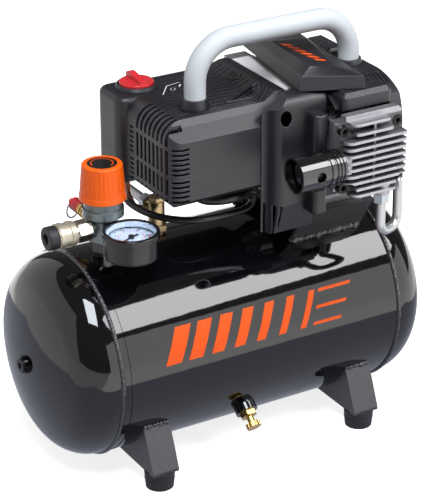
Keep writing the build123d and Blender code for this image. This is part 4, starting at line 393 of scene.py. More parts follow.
# painted shade: the sheen is turned down in the grooves; painted highlight: the moulded edges are lightened
# where they stand open
hollow = add(nylon, "ShaderNodeAmbientOcclusion", {"Distance": 0.004}, samples=4)
open_to_light = add(nylon, "ShaderNodeMapRange", {
    "Value": hollow.outputs["AO"], "From Min": 0.35, "From Max": 0.95, "To Min": 0.08, "To Max": 0.55})
flat = add(nylon, "ShaderNodeNewGeometry", {})
turned = add(nylon, "ShaderNodeVectorMath", {0: flat.outputs["Normal"], 1: soft.outputs["Normal"]},
             operation="DOT_PRODUCT")
edge = add(nylon, "ShaderNodeMapRange", {
    "Value": turned.outputs["Value"], "From Min": 0.86, "From Max": 0.995, "To Min": 1.0, "To Max": 0.0})
painted_edge_highlight = add(nylon, "ShaderNodeMath", {0: edge.outputs["Result"], 1: open_to_light.outputs["Result"]},
                operation="MULTIPLY")
# painted highlight: the rounded edges are mixed towards a pale grey
shade = add(nylon, "ShaderNodeMix", {0: painted_edge_highlight.outputs["Value"], 6: shade.outputs[2],
                                     7: srgb("#6c6b72")}, data_type="RGBA")
wave = add(nylon, "ShaderNodeBump", {
    "Height": grain.outputs["Fac"], "Strength": 0.6, "Distance": 0.00022, "Normal": soft.outputs["Normal"]})
resin = add(nylon, "ShaderNodeBsdfPrincipled", {
    "Base Color": shade.outputs[2], "Roughness": dull.outputs["Result"], "IOR": 1.53,
    "Specular IOR Level": open_to_light.outputs["Result"], "Normal": wave.outputs["Normal"]})
dress(nylon, resin.outputs["BSDF"], "cover_upper", "cover_lower", "pump_cover", "side_cover", "roof_hood",
      "knob_collar", "cord_gland", "pressure_switch", "fan", "handle_collars", "filter_core")

# raised ribs follow the cover's top: a leaf-shaped boss and three contour lines round its corner
COVER_TOP = 0.350
RIB_SIDES = 10


def cover_surface(x, y):
    """A point on the motor cover's top, which climbs to a low ridge at its right end."""
    return Vector((x, y, COVER_TOP + min(max((x - 0.022) * 0.4, 0.0), 0.006)))


def rib_run(bm, points, radius, sink):
    """A round rib through points, partly sunk into the surface."""
    rings = []
    for i, point in enumerate(points):
        before = points[max(i - 1, 0)]
        after = points[min(i + 1, len(points) - 1)]
        along = (after - before).normalized()
        side = along.cross(Vector((0, 0, 1))).normalized()
        top = side.cross(along)
        centre = point - top * sink
        ring = []
        for k in range(RIB_SIDES):
            turn = k * math.tau / RIB_SIDES
            ring.append(bm.verts.new(centre + radius * (side * math.cos(turn) + top * math.sin(turn))))
        rings.append(ring)
    for one, two in zip(rings, rings[1:]):
        for k in range(RIB_SIDES):
            after = (k + 1) % RIB_SIDES
            bm.faces.new((one[k], one[after], two[after], two[k]))
    bm.faces.new(rings[0])
    bm.faces.new(list(reversed(rings[-1])))


def rounded(corners, cut):
    """The corners joined by straight lines, each corner cut off by an arc of short steps."""
    path = [cover_surface(*corners[0])]
    for before, here, after in zip(corners, corners[1:], corners[2:]):
        corner = Vector(here)
        start_at = corner + (Vector(before) - corner).normalized() * cut
        end_at = corner + (Vector(after) - corner).normalized() * cut
        for step in range(5):
            t = step / 4
            spot = (1 - t) ** 2 * start_at + 2 * t * (1 - t) * corner + t * t * end_at
            path.append(cover_surface(spot.x, spot.y))
    path.append(cover_surface(*corners[-1]))
    return path


ribs = bmesh.new()
leaf = [(0.0300, -0.0215), (-0.0090, -0.0385), (0.0200, -0.0405), (0.0320, -0.0335), (0.0365, -0.0225),
        (0.0300, -0.0215), (0.0290, -0.0219)]
rib_run(ribs, rounded(leaf, 0.0024), 0.0017, 0.0004)
leaf = [(0.0280, -0.0262), (0.0060, -0.0362), (0.0200, -0.0368), (0.0300, -0.0300), (0.0280, -0.0262),
        (0.0270, -0.0266)]
rib_run(ribs, rounded(leaf, 0.0020), 0.0010, 0.0004)
for inset in (0.0, 0.0036, 0.0072):
    corner = [(-0.050, -0.0452 - inset), (0.0130 + inset * 0.5, -0.0452 - inset),
              (0.0300 + inset * 0.4, -0.0330 - inset * 1.3), (0.0385, -0.0245 - inset * 1.7)]
    rib_run(ribs, rounded(corner, 0.0050), 0.0009, 0.0002)
bmesh.ops.recalc_face_normals(ribs, faces=ribs.faces)
piece("cover_ribs", ribs, nylon, "frame")

# an oval screw pocket in the ridge's flank: a raised rim round a flat dark sheet, which is painted shade for
# the pocket's hollow
pocket_shade_finish, place = start("shadowed_polyamide")
grain = add(pocket_shade_finish, "ShaderNodeTexNoise", {"Vector": place, "Scale": 1000 / 2, "Detail": 2.0})
shade = add(pocket_shade_finish, "ShaderNodeMix", {0: grain.outputs["Fac"], 6: srgb("#050506"), 7: srgb("#0b0b0d")},
            data_type="RGBA")
resin = add(pocket_shade_finish, "ShaderNodeBsdfPrincipled", {"Base Color": shade.outputs[2], "Roughness": 0.7})
dress(pocket_shade_finish, resin.outputs["BSDF"])
POCKET = (0.0300, 0.0125)
POCKET_HALF = (0.0048, 0.0088)
oval = []
for i in range(29):
    turn = math.tau * i / 28
    oval.append(cover_surface(POCKET[0] + POCKET_HALF[0] * math.cos(turn),
                              POCKET[1] + POCKET_HALF[1] * math.sin(turn)))
rim = bmesh.new()
rib_run(rim, oval, 0.0011, 0.0002)
bmesh.ops.recalc_face_normals(rim, faces=rim.faces)
piece("pocket_rim", rim, nylon, "frame")
# painted shade: a flat dark sheet just above the cover stands in for the shadowed inside of the pocket
dark = bmesh.new()
dark.faces.new([dark.verts.new(p + Vector((0, 0, 0.0002))) for p in oval[:-1]])
bmesh.ops.recalc_face_normals(dark, faces=dark.faces)
piece("pocket_painted_shade", dark, pocket_shade_finish, "frame", smooth=False)


# ---------------------------------------------------------------- deck plate
# A pale painted sheet lies on the casting's deck, between the motor cover and the hood.
# The paint is a light satin grey that shows bright against the black covers.
pale_paint, place = start("pale_satin_paint")
cloud = add(pale_paint, "ShaderNodeTexNoise", {"Vector": place, "Scale": 1000 / 15, "Detail": 3.0})
shade = add(pale_paint, "ShaderNodeMix", {0: cloud.outputs["Fac"], 6: srgb("#dcd8d9"), 7: srgb("#ebe8e9")},
            data_type="RGBA")
coat = add(pale_paint, "ShaderNodeBsdfPrincipled", {
    "Base Color": shade.outputs[2], "Roughness": 0.4, "IOR": 1.5})
dress(pale_paint, coat.outputs["BSDF"])

PLATE_SIZE = (0.0232, 0.095, 0.0006)
PLATE_CENTRE = (0.0600, -0.0025, 0.35535)
plate = bmesh.new()
bmesh.ops.create_cube(plate, size=1.0)
bmesh.ops.scale(plate, verts=plate.verts, vec=PLATE_SIZE)
bmesh.ops.translate(plate, verts=plate.verts, vec=PLATE_CENTRE)
piece("deck_plate", plate, pale_paint, "frame", smooth=False)


# ---------------------------------------------------------------- intake filter
# Gloss black ABS filter can, screwed to the cylinder head's inlet.
# A polished mould leaves it mirror-smooth with the slightest sink marks.
polished, place = start("polished_black_abs")
sink = add(polished, "ShaderNodeTexNoise", {"Vector": place, "Scale": 1000 / 18, "Detail": 1.0})
shade = add(polished, "ShaderNodeMix", {0: sink.outputs["Fac"], 6: srgb("#070708"), 7: srgb("#101012")},
            data_type="RGBA")
dull = add(polished, "ShaderNodeMapRange", {"Value": sink.outputs["Fac"], "To Min": 0.06, "To Max": 0.12})
soft = add(polished, "ShaderNodeBevel", {"Radius": 0.0005}, samples=4)
wave = add(polished, "ShaderNodeBump", {
    "Height": sink.outputs["Fac"], "Strength": 0.5, "Distance": 0.0001, "Normal": soft.outputs["Normal"]})
resin = add(polished, "ShaderNodeBsdfPrincipled", {
    "Base Color": shade.outputs[2], "Roughness": dull.outputs["Result"], "IOR": 1.8,
    "Normal": wave.outputs["Normal"]})
dress(polished, resin.outputs["BSDF"], "intake_filter", "regulator_cap")


# ---------------------------------------------------------------- handle
# Bent steel tube in pale grey powder coat, pushed through both covers.
# Powder coat flows out to a satin skin with a slight orange peel.
powder, place = start("pale_grey_powder_coat")
peel = add(powder, "ShaderNodeTexNoise", {"Vector": place, "Scale": 1000 / 1.6, "Detail": 2.0})
cloud = add(powder, "ShaderNodeTexNoise", {"Vector": place, "Scale": 1000 / 30, "Detail": 2.0})
shade = add(powder, "ShaderNodeMix", {0: cloud.outputs["Fac"], 6: srgb("#babec2"), 7: srgb("#c8cccf")},
            data_type="RGBA")
wave = add(powder, "ShaderNodeBump", {"Height": peel.outputs["Fac"], "Strength": 0.35, "Distance": 0.00008})
coat = add(powder, "ShaderNodeBsdfPrincipled", {
    "Base Color": shade.outputs[2], "Roughness": 0.5, "IOR": 1.36, "Normal": wave.outputs["Normal"]})
dress(powder, coat.outputs["BSDF"], "handle")


# ---------------------------------------------------------------- hood badge
# Generic decoration on the hood's top: a row of slanted bars in orange film.
# The film follows the hood's top face, which falls gently to the right.
HOOD_Z = 0.384
HOOD_FALL = 0.10
BADGE_STEP = 0.0098
BADGE_BAR = (0.0088, 0.0056)    # across the row and along it
badge = bmesh.new()
for i in range(6):
    made = bmesh.ops.create_grid(badge, x_segments=1, y_segments=1, size=0.5)
    for vert in made["verts"]:
        along = vert.co.y * BADGE_BAR[1] - 0.0245 + i * BADGE_STEP + vert.co.x * 0.0042
        across = vert.co.x * BADGE_BAR[0]
        x = 0.0790 + across + along * 0.105
        y = -0.0330 - along
        vert.co = Vector((x, y, HOOD_Z - HOOD_FALL * (x - 0.050) + 0.00012))
bmesh.ops.recalc_face_normals(badge, faces=badge.faces)
piece("hood_badge", badge, film, "frame", smooth=False)


# ---------------------------------------------------------------- main switch
# Red ABS rotary knob on the switch housing, with its positions printed in white.
# The knob comes from a polished mould, and the ink lies flat on the cover's grain.
signal_red, place = start("signal_red_abs")
cloud = add(signal_red, "ShaderNodeTexNoise", {"Vector": place, "Scale": 1000 / 10, "Detail": 2.0})
shade = add(signal_red, "ShaderNodeMix", {0: cloud.outputs["Fac"], 6: srgb("#c41a20"), 7: srgb("#d63036")},
            data_type="RGBA")
soft = add(signal_red, "ShaderNodeBevel", {"Radius": 0.0008}, samples=4)
wave = add(signal_red, "ShaderNodeBump", {
    "Height": cloud.outputs["Fac"], "Strength": 0.2, "Distance": 0.0001, "Normal": soft.outputs["Normal"]})
resin = add(signal_red, "ShaderNodeBsdfPrincipled", {
    "Base Color": shade.outputs[2], "Roughness": 0.3, "IOR": 1.53, "Normal": wave.outputs["Normal"]})
dress(signal_red, resin.outputs["BSDF"], "switch_knob", "safety_cap")


def printing_ink(name, dark, light):
    """A dull ink, uneven where it has soaked into the grain."""
    coat, place = start(name)
    grain = add(coat, "ShaderNodeTexNoise", {"Vector": place, "Scale": 1000 / 1.5, "Detail": 2.0})
    shade = add(coat, "ShaderNodeMix", {0: grain.outputs["Fac"], 6: srgb(dark), 7: srgb(light)},
                data_type="RGBA")
    skin = add(coat, "ShaderNodeBsdfPrincipled", {"Base Color": shade.outputs[2], "Roughness": 0.5})
    dress(coat, skin.outputs["BSDF"])
    return coat


ink = printing_ink("white_printing_ink", "#d8d8d8", "#f4f4f4")


def flat_line(bm, points, width, z):
    """A printed line through points at one level."""
    for (x0, y0), (x1, y1) in zip(points, points[1:]):
        length = math.hypot(x1 - x0, y1 - y0)
        made = bmesh.ops.create_grid(bm, x_segments=1, y_segments=1, size=0.5)
        bmesh.ops.scale(bm, verts=made["verts"], vec=(length + width * 0.6, width, 1))
        bmesh.ops.rotate(bm, verts=made["verts"], cent=(0, 0, 0),
                         matrix=Matrix.Rotation(math.atan2(y1 - y0, x1 - x0), 3, "Z"))
        bmesh.ops.translate(bm, verts=made["verts"], vec=((x0 + x1) / 2, (y0 + y1) / 2, z))


PRINT_Z = COVER_TOP + 0.00015
legend = bmesh.new()
flat_line(legend, [(-0.0490, 0.0085), (-0.0352, 0.0262), (-0.0205, 0.0290)], 0.0009, PRINT_Z)
zero = []
for i in range(17):
    turn = math.tau * i / 16
    x, y = 0.0021 * math.cos(turn), 0.0034 * math.sin(turn)
    zero.append((-0.0341 + x * 0.77 + y * 0.64, 0.0160 - x * 0.64 + y * 0.77))
flat_line(legend, zero, 0.0011, PRINT_Z)
flat_line(legend, [(-0.0258, 0.0186), (-0.0216, 0.0238)], 0.0012, PRINT_Z)
piece("switch_legend", legend, ink, "frame", smooth=False)


# ---------------------------------------------------------------- pressure regulator
# Nickel-plated die-cast body with an orange knob and a black cap on top.
# Cast zinc shows a cool bluish grey under thin plate; the knob is fluted gloss ABS.
diecast, place = start("nickel_plated_zinc_casting")
grain = add(diecast, "ShaderNodeTexNoise", {"Vector": place, "Scale": 1000 / 1.4, "Detail": 3.0})
shade = add(diecast, "ShaderNodeMix", {0: grain.outputs["Fac"], 6: srgb("#666f70"), 7: srgb("#899192")},
            data_type="RGBA")
soft = add(diecast, "ShaderNodeBevel", {"Radius": 0.0006}, samples=4)
wave = add(diecast, "ShaderNodeBump", {
    "Height": grain.outputs["Fac"], "Strength": 0.5, "Distance": 0.00015, "Normal": soft.outputs["Normal"]})
metal = add(diecast, "ShaderNodeBsdfPrincipled", {
    "Base Color": shade.outputs[2], "Metallic": 0.75, "Roughness": 0.36, "Normal": wave.outputs["Normal"]})
dress(diecast, metal.outputs["BSDF"], "regulator_body")

signal_orange, place = start("signal_orange_abs")
cloud = add(signal_orange, "ShaderNodeTexNoise", {"Vector": place, "Scale": 1000 / 12, "Detail": 2.0})
shade = add(signal_orange, "ShaderNodeMix", {0: cloud.outputs["Fac"], 6: srgb("#ee5800"), 7: srgb("#fb6604")},
            data_type="RGBA")
soft = add(signal_orange, "ShaderNodeBevel", {"Radius": 0.0008}, samples=4)
wave = add(signal_orange, "ShaderNodeBump", {
    "Height": cloud.outputs["Fac"], "Strength": 0.2, "Distance": 0.0001, "Normal": soft.outputs["Normal"]})
resin = add(signal_orange, "ShaderNodeBsdfPrincipled", {
    "Base Color": shade.outputs[2], "Roughness": 0.36, "IOR": 1.45, "Normal": wave.outputs["Normal"]})
dress(signal_orange, resin.outputs["BSDF"], "regulator_knob")

# an orange arc is printed on the cap's top
low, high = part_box("regulator_cap")
CAP_CENTRE = ((low.x + high.x) / 2, (low.y + high.y) / 2)
ARC_RADIUS = 0.0102
arc_mark = bmesh.new()
arc = []
for i in range(25):
    turn = math.radians(-60 + i * 10)
    arc.append((CAP_CENTRE[0] + ARC_RADIUS * math.cos(turn), CAP_CENTRE[1] + ARC_RADIUS * math.sin(turn)))
flat_line(arc_mark, arc, 0.0014, high.z + 0.0001)
piece("cap_arc", arc_mark, signal_orange, "regulator_adjuster", smooth=False)


# ---------------------------------------------------------------- hose coupler
# Quick coupler turned from steel, nickel plated, with a sprung sleeve and black nose.
# The plate is warm and satin, and a little cloudy.
nickel, place = start("satin_nickel_plate")
cloud = add(nickel, "ShaderNodeTexNoise", {"Vector": place, "Scale": 1000 / 5, "Detail": 3.0})
shade = add(nickel, "ShaderNodeMix", {0: cloud.outputs["Fac"], 6: srgb("#b9b4a6"), 7: srgb("#d8d4c8")},
            data_type="RGBA")
dull = add(nickel, "ShaderNodeMapRange", {"Value": cloud.outputs["Fac"], "To Min": 0.2, "To Max": 0.34})
soft = add(nickel, "ShaderNodeBevel", {"Radius": 0.0005}, samples=4)
metal = add(nickel, "ShaderNodeBsdfPrincipled", {
    "Base Color": shade.outputs[2], "Metallic": 1.0, "Roughness": dull.outputs["Result"],
    "Normal": soft.outputs["Normal"]})
dress(nickel, metal.outputs["BSDF"], "coupler_body")

# the sleeve is blasted before plating, so its skin is matt and creamy
matt_nickel, place = start("blasted_nickel_plate")
cloud = add(matt_nickel, "ShaderNodeTexNoise", {"Vector": place, "Scale": 1000 / 2.5, "Detail": 3.0})
shade = add(matt_nickel, "ShaderNodeMix", {0: cloud.outputs["Fac"], 6: srgb("#b5ad98"), 7: srgb("#cfc9b8")},
            data_type="RGBA")
soft = add(matt_nickel, "ShaderNodeBevel", {"Radius": 0.0005}, samples=4)
metal = add(matt_nickel, "ShaderNodeBsdfPrincipled", {
    "Base Color": shade.outputs[2], "Metallic": 0.7, "Roughness": 0.42, "Normal": soft.outputs["Normal"]})
dress(matt_nickel, metal.outputs["BSDF"], "coupler_sleeve")


# ---------------------------------------------------------------- pressure gauge
# Dial gauge with a black enamelled steel case, a printed dial and a clear window.
# The dial has a scale of black ticks with plain numbers, and a red scale inside it.
case_paint, place = start("gauge_case_enamel")
grain = add(case_paint, "ShaderNodeTexNoise", {"Vector": place, "Scale": 1000 / 2, "Detail": 2.0})
shade = add(case_paint, "ShaderNodeMix", {0: grain.outputs["Fac"], 6: srgb("#08080a"), 7: srgb("#131316")},
            data_type="RGBA")
soft = add(case_paint, "ShaderNodeBevel", {"Radius": 0.0005}, samples=4)
wave = add(case_paint, "ShaderNodeBump", {
    "Height": grain.outputs["Fac"], "Strength": 0.4, "Distance": 0.00005, "Normal": soft.outputs["Normal"]})
paint = add(case_paint, "ShaderNodeBsdfPrincipled", {
    "Base Color": shade.outputs[2], "Roughness": 0.22, "IOR": 1.5, "Normal": wave.outputs["Normal"]})
dress(case_paint, paint.outputs["BSDF"], "gauge_case", "gauge_bezel", "gauge_needle")

dial_paint, place = start("white_dial_lacquer")
grain = add(dial_paint, "ShaderNodeTexNoise", {"Vector": place, "Scale": 1000 / 7, "Detail": 2.0})
shade = add(dial_paint, "ShaderNodeMix", {0: grain.outputs["Fac"], 6: srgb("#a6b1c6"), 7: srgb("#b8c1d2")},
            data_type="RGBA")
lacquer = add(dial_paint, "ShaderNodeBsdfPrincipled", {"Base Color": shade.outputs[2], "Roughness": 0.45})
dress(dial_paint, lacquer.outputs["BSDF"], "gauge_dial")

clear = start("clear_acrylic_window")[0]
seen = add(clear, "ShaderNodeLightPath", {})
window = add(clear, "ShaderNodeBsdfPrincipled", {
    "Base Color": srgb("#f6fafc"), "Roughness": 0.02, "IOR": 1.49, "Transmission Weight": 1.0})
through = add(clear, "ShaderNodeBsdfTransparent", {})
both = add(clear, "ShaderNodeMixShader", {
    0: seen.outputs["Is Shadow Ray"], 1: window.outputs["BSDF"], 2: through.outputs["BSDF"]})
dress(clear, both.outputs["Shader"], "gauge_glass")

low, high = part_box("gauge_dial")
DIAL = Vector(((low.x + high.x) / 2, (low.y + high.y) / 2, high.z + 0.00012))
DIAL_RADIUS = (high.x - low.x) / 2
GLASS_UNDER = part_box("gauge_glass")[0].z
SCALE_START = math.radians(200)    # direction of the scale's zero
SCALE_SWEEP = math.radians(-270)
TICK_END = 0.0213
INNER_RADIUS = 0.0118
NUMBER_RADIUS = 0.0150
NUMBER_HEIGHT = 0.0056
NUMBER_TURN = math.radians(-40)    # the gauge is turned about its stem

black_ink = printing_ink("black_printing_ink", "#0c0c0e", "#1c1c1f")
red_ink = printing_ink("red_printing_ink", "#c0202c", "#d83a44")

# a white spacer ring stands between the dial's edge and the window
spacer = bmesh.new()
bmesh.ops.create_cone(spacer, cap_ends=False, segments=64, radius1=DIAL_RADIUS - 0.0012,
                      radius2=DIAL_RADIUS - 0.0002, depth=GLASS_UNDER - high.z - 0.0002)
bmesh.ops.translate(spacer, verts=spacer.verts, vec=(DIAL.x, DIAL.y, (GLASS_UNDER + high.z) / 2))
piece("dial_spacer", spacer, dial_paint, "frame")


def on_dial(turn, reach):
    """A point on the dial at an angle and a distance from its centre."""
    return (DIAL.x + reach * math.cos(turn), DIAL.y + reach * math.sin(turn))


ticks = bmesh.new()
for i in range(51):
    turn = SCALE_START + SCALE_SWEEP * i / 50
    inner = 0.0178 if i % 5 == 0 else 0.0196
    width = 0.0012 if i % 5 == 0 else 0.0006
    flat_line(ticks, [on_dial(turn, inner), on_dial(turn, TICK_END)], width, DIAL.z)
rim = [on_dial(SCALE_START + SCALE_SWEEP * i / 60, TICK_END) for i in range(61)]
flat_line(ticks, rim, 0.0003, DIAL.z + 0.00002)
piece("dial_ticks", ticks, black_ink, "frame", smooth=False)

inner_scale = bmesh.new()
rim = [on_dial(SCALE_START + SCALE_SWEEP * (0.8 + 0.2 * i / 16), 0.0169) for i in range(17)]
flat_line(inner_scale, rim, 0.0012, DIAL.z)
for i in range(17):
    turn = SCALE_START + SCALE_SWEEP * i / 16
    flat_line(inner_scale, [on_dial(turn, INNER_RADIUS), on_dial(turn, 0.0132)], 0.0004, DIAL.z)
rim = [on_dial(SCALE_START + SCALE_SWEEP * i / 60, INNER_RADIUS) for i in range(61)]
flat_line(inner_scale, rim, 0.00035, DIAL.z + 0.00002)
piece("dial_red_scale", inner_scale, red_ink, "frame", smooth=False)

for number in range(0, 11, 2):
    text = bpy.data.curves.new(f"dial_number_{number}", "FONT")
    text.body = str(number)
    text.size = NUMBER_HEIGHT
    text.align_x = "CENTER"
    text.align_y = "CENTER"
    holder = bpy.data.objects.new("number_holder", text)
    bpy.context.scene.collection.objects.link(holder)
    bpy.context.view_layer.update()
    flat = bpy.data.meshes.new_from_object(holder.evaluated_get(bpy.context.evaluated_depsgraph_get()))
    bpy.data.objects.remove(holder)
    letters = bmesh.new()
    letters.from_mesh(flat)
    turn = SCALE_START + SCALE_SWEEP * number / 10
    x, y = on_dial(turn, NUMBER_RADIUS)
    bmesh.ops.rotate(letters, verts=letters.verts, cent=(0, 0, 0),
                     matrix=Matrix.Rotation(NUMBER_TURN, 3, "Z"))
    bmesh.ops.translate(letters, verts=letters.verts, vec=(x, y, DIAL.z + 0.00001))
    piece(f"dial_number_{number}", letters, black_ink, "frame", smooth=False)


# ---------------------------------------------------------------- motor lead
# Round PVC lead from the switch box to the motor, looped once under the motor cover.
# It is soft and satin, and its loop hangs between its two glands.
pvc, place = start("black_pvc_sheath")
grain = add(pvc, "ShaderNodeTexNoise", {"Vector": place, "Scale": 1000 / 2, "Detail": 2.0})
shade = add(pvc, "ShaderNodeMix", {0: grain.outputs["Fac"], 6: srgb("#151517"), 7: srgb("#242427")},
            data_type="RGBA")
wave = add(pvc, "ShaderNodeBump", {"Height": grain.outputs["Fac"], "Strength": 0.3, "Distance": 0.00008})
sheath = add(pvc, "ShaderNodeBsdfPrincipled", {
    "Base Color": shade.outputs[2], "Roughness": 0.34, "IOR": 1.53, "Normal": wave.outputs["Normal"]})
dress(pvc, sheath.outputs["BSDF"])

LEAD_RADIUS = 0.0034
SLEEVE_RADIUS = 0.0052
LEAD_ROUTE = [(-34, -28, 265), (-34, -28, 253), (-8, -46, 254.5), (22, -38, 256), (22, -37, 237),
              (-8, -41, 237), (-42, -41, 238), (-66, -16, 237), (-77, 8, 239), (-82, 30, 244),
              (-82, 30, 262)]


def round_cord(name, route, radius, fineness):
    """A round cord that follows a route in millimetres smoothly, with closed ends."""
    line = bpy.data.curves.new(name, "CURVE")
    line.dimensions = "3D"
    line.resolution_u = 12
    line.bevel_depth = radius
    line.bevel_resolution = fineness
    line.use_fill_caps = True
    spline = line.splines.new("NURBS")
    spline.points.add(len(route) - 1)
    for point, (x, y, z) in zip(spline.points, route):
        point.co = (x / 1000, y / 1000, z / 1000, 1.0)
    spline.order_u = 3
    spline.use_endpoint_u = True
    line.materials.append(pvc)
    cord = bpy.data.objects.new(name, line)
    bpy.context.scene.collection.objects.link(cord)
    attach(cord, "frame")
    return cord


lead = round_cord("motor_lead", LEAD_ROUTE, LEAD_RADIUS, 6)
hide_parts("link_lead")


# ---------------------------------------------------------------- lead sleeve
# A thicker sleeve of the same PVC is pushed over the lead's upper run, from the gland down.
# It follows the lead's own curve, and its ends are plain cuts.
sleeve_route = [(-34, -28, 262)] + LEAD_ROUTE[1:4] + [(22, -37.5, 246.5)]
round_cord("lead_sleeve", sleeve_route, SLEEVE_RADIUS, 8)


# ---------------------------------------------------------------- studio
# A white table in a grey room, a wide soft box at the front right and an upright one at the left.
# The floor and the world show white to the camera; gloss sees the table end and the room's walls.
floor_mesh = bmesh.new()
bmesh.ops.create_grid(floor_mesh, x_segments=1, y_segments=1, size=4.0)
pale, place = start("pale_floor")
seen = add(pale, "ShaderNodeLightPath", {})
across = add(pale, "ShaderNodeVectorMath", {0: place, 1: (0.01, 0.06, 0.0)},
             operation="SUBTRACT")
shaped = add(pale, "ShaderNodeVectorMath", {0: across.outputs["Vector"], 1: (1 / 0.50, 1 / 0.44, 0.0)},
             operation="MULTIPLY")
parts = add(pale, "ShaderNodeSeparateXYZ", {"Vector": shaped.outputs["Vector"]})
side_way = add(pale, "ShaderNodeMath", {0: parts.outputs["X"]}, operation="ABSOLUTE")
deep_way = add(pale, "ShaderNodeMath", {0: parts.outputs["Y"]}, operation="ABSOLUTE")
farthest = add(pale, "ShaderNodeMath", {0: side_way.outputs["Value"], 1: deep_way.outputs["Value"]},
               operation="MAXIMUM")
beyond = add(pale, "ShaderNodeMapRange", {
    "Value": farthest.outputs["Value"], "From Min": 0.99, "From Max": 1.02, "To Min": 0.0, "To Max": 1.0})
corner = add(pale, "ShaderNodeSeparateXYZ", {"Vector": place})
away = add(pale, "ShaderNodeMapRange", {
    "Value": corner.outputs["X"], "From Min": -0.36, "From Max": -0.30, "To Min": 0.0, "To Max": 1.0})
room_tone = add(pale, "ShaderNodeMix", {0: away.outputs["Result"], 6: (0.84, 0.83, 0.82, 1.0),
                                        7: (1.75, 1.71, 1.67, 1.0)}, data_type="RGBA")
glossy_light = add(pale, "ShaderNodeMix", {0: beyond.outputs["Result"], 6: (0.40, 0.42, 0.50, 1.0),
                                           7: room_tone.outputs[2]}, data_type="RGBA")
light = add(pale, "ShaderNodeMix", {0: seen.outputs["Is Glossy Ray"], 6: (0.24, 0.24, 0.25, 1.0),
                                    7: glossy_light.outputs[2]}, data_type="RGBA")
matt = add(pale, "ShaderNodeBsdfDiffuse", {"Color": srgb("#f2f2f2")})
dim = add(pale, "ShaderNodeBsdfDiffuse", {"Color": srgb("#606064")})
glow = add(pale, "ShaderNodeEmission", {"Color": light.outputs[2], "Strength": 1.0})
lit = add(pale, "ShaderNodeAddShader", {0: dim.outputs["BSDF"], 1: glow.outputs["Emission"]})
shine = add(pale, "ShaderNodeEmission", {"Color": srgb("#ffffff"), "Strength": 0.8})
shown = add(pale, "ShaderNodeAddShader", {0: matt.outputs["BSDF"], 1: shine.outputs["Emission"]})
both = add(pale, "ShaderNodeMixShader", {
    0: seen.outputs["Is Camera Ray"], 1: lit.outputs["Shader"], 2: shown.outputs["Shader"]})
dress(pale, both.outputs["Shader"])
floor_data = bpy.data.meshes.new("studio_floor")
floor_mesh.to_mesh(floor_data)
floor_mesh.free()
floor_data.materials.append(pale)
floor = bpy.data.objects.new("studio_floor", floor_data)
bpy.context.scene.collection.objects.link(floor)

world = bpy.data.worlds.new("studio_air")
bpy.context.scene.world = world
world.use_nodes = True
world.node_tree.nodes.clear()
seen = add(world, "ShaderNodeLightPath", {})
way = add(world, "ShaderNodeTexCoord", {})
split = add(world, "ShaderNodeSeparateXYZ", {"Vector": way.outputs["Generated"]})
low_front = add(world, "ShaderNodeMath", {0: split.outputs["Z"], 1: 0.47}, operation="LESS_THAN")
to_front = add(world, "ShaderNodeMath", {0: split.outputs["Y"], 1: -0.25}, operation="LESS_THAN")
to_right = add(world, "ShaderNodeMath", {0: split.outputs["X"], 1: 0.0}, operation="GREATER_THAN")
front = add(world, "ShaderNodeMath", {0: low_front.outputs["Value"], 1: to_front.outputs["Value"]},
            operation="MULTIPLY")
front = add(world, "ShaderNodeMath", {0: front.outputs["Value"], 1: to_right.outputs["Value"]},
            operation="MULTIPLY")
slanted = add(world, "ShaderNodeMath", {0: split.outputs["X"], 1: 0.2, 2: -0.02}, operation="MULTIPLY_ADD")
behind = add(world, "ShaderNodeMath", {0: split.outputs["Y"], 1: slanted.outputs["Value"]},
             operation="GREATER_THAN")
under = add(world, "ShaderNodeMath", {0: split.outputs["Z"], 1: 0.70}, operation="LESS_THAN")
left = add(world, "ShaderNodeMath", {0: split.outputs["X"], 1: 0.1}, operation="LESS_THAN")
wall = add(world, "ShaderNodeMath", {0: behind.outputs["Value"], 1: under.outputs["Value"]},
           operation="MULTIPLY")
wall = add(world, "ShaderNodeMath", {0: wall.outputs["Value"], 1: left.outputs["Value"]},
           operation="MULTIPLY")
grey_wall = add(world, "ShaderNodeMath", {0: wall.outputs["Value"], 1: 0.45}, operation="MULTIPLY")
room = add(world, "ShaderNodeMath", {0: front.outputs["Value"], 1: grey_wall.outputs["Value"]},
           operation="MAXIMUM")
room = add(world, "ShaderNodeMapRange", {"Value": room.outputs["Value"], "To Min": 0.14, "To Max": 1.75})
level = add(world, "ShaderNodeMix", {0: seen.outputs["Is Glossy Ray"], 2: 0.26, 3: room.outputs["Result"]},
            data_type="FLOAT")
ambient = add(world, "ShaderNodeBackground", {"Color": srgb("#fffcfb"), "Strength": level.outputs[0]})
white = add(world, "ShaderNodeBackground", {"Color": srgb("#ffffff"), "Strength": 1.0})
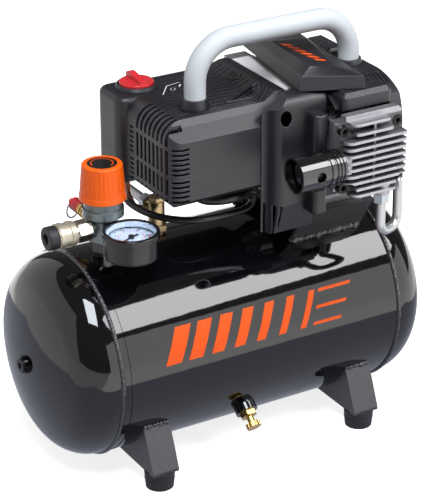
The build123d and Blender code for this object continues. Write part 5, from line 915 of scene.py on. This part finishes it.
plain = add(world, "ShaderNodeMath", {0: seen.outputs["Is Camera Ray"],
                                      1: seen.outputs["Is Transmission Ray"]},
            operation="MAXIMUM")
both = add(world, "ShaderNodeMixShader", {
    0: plain.outputs["Value"], 1: ambient.outputs["Background"], 2: white.outputs["Background"]})
add(world, "ShaderNodeOutputWorld", {"Surface": both.outputs["Shader"]})


def panel(name, centre, aim, wide, high, radiance, colour):
    """A soft box that faces a point."""
    data = bpy.data.lights.new(name, "AREA")
    data.shape = "RECTANGLE"
    data.size = wide
    data.size_y = high
    data.energy = radiance * wide * high * math.pi
    data.color = srgb(colour)[:3]
    lamp = bpy.data.objects.new(name, data)
    bpy.context.scene.collection.objects.link(lamp)
    lamp.location = centre
    lamp.rotation_euler = (Vector(aim) - Vector(centre)).to_track_quat("-Z", "Y").to_euler()
    return lamp


middle = Vector((0.0, 0.0, 0.17))
panel("key_soft_box", middle + 1.7 * Vector((0.46, -0.54, 0.705)).normalized(), middle, 1.05, 0.66, 9.0,
      "#fdfdff")
panel("left_soft_box", middle + 1.6 * Vector((-0.25, -0.42, 0.87)).normalized(), middle, 0.58, 0.80, 15.0,
      "#f2f9ff")

# the camera's place, fitted to the object's size
AZIMUTH = math.radians(-30.72)
ELEVATION = math.radians(25.35)
CAMERA_REACH = 2.0
target = Vector((0.00176, 0.0, 0.1831))
back = Vector((math.sin(AZIMUTH) * math.cos(ELEVATION), -math.cos(AZIMUTH) * math.cos(ELEVATION),
               math.sin(ELEVATION)))
right = Vector((math.cos(AZIMUTH), math.sin(AZIMUTH), 0.0))
up = back.cross(right)
camera_data = bpy.data.cameras.new("camera")
camera_data.sensor_width = 36.0
camera_data.sensor_fit = "AUTO"
camera_data.lens = 36.0 * 2051.5 / 496
camera_data.clip_start = 0.05
camera_data.clip_end = 30.0
camera = bpy.data.objects.new("camera", camera_data)
bpy.context.scene.collection.objects.link(camera)
turned = Matrix((right, up, back)).transposed().to_4x4()
camera.matrix_world = Matrix.Translation(target + CAMERA_REACH * back) @ turned
bpy.context.scene.camera = camera
bpy.context.scene.view_settings.view_transform = "Standard"
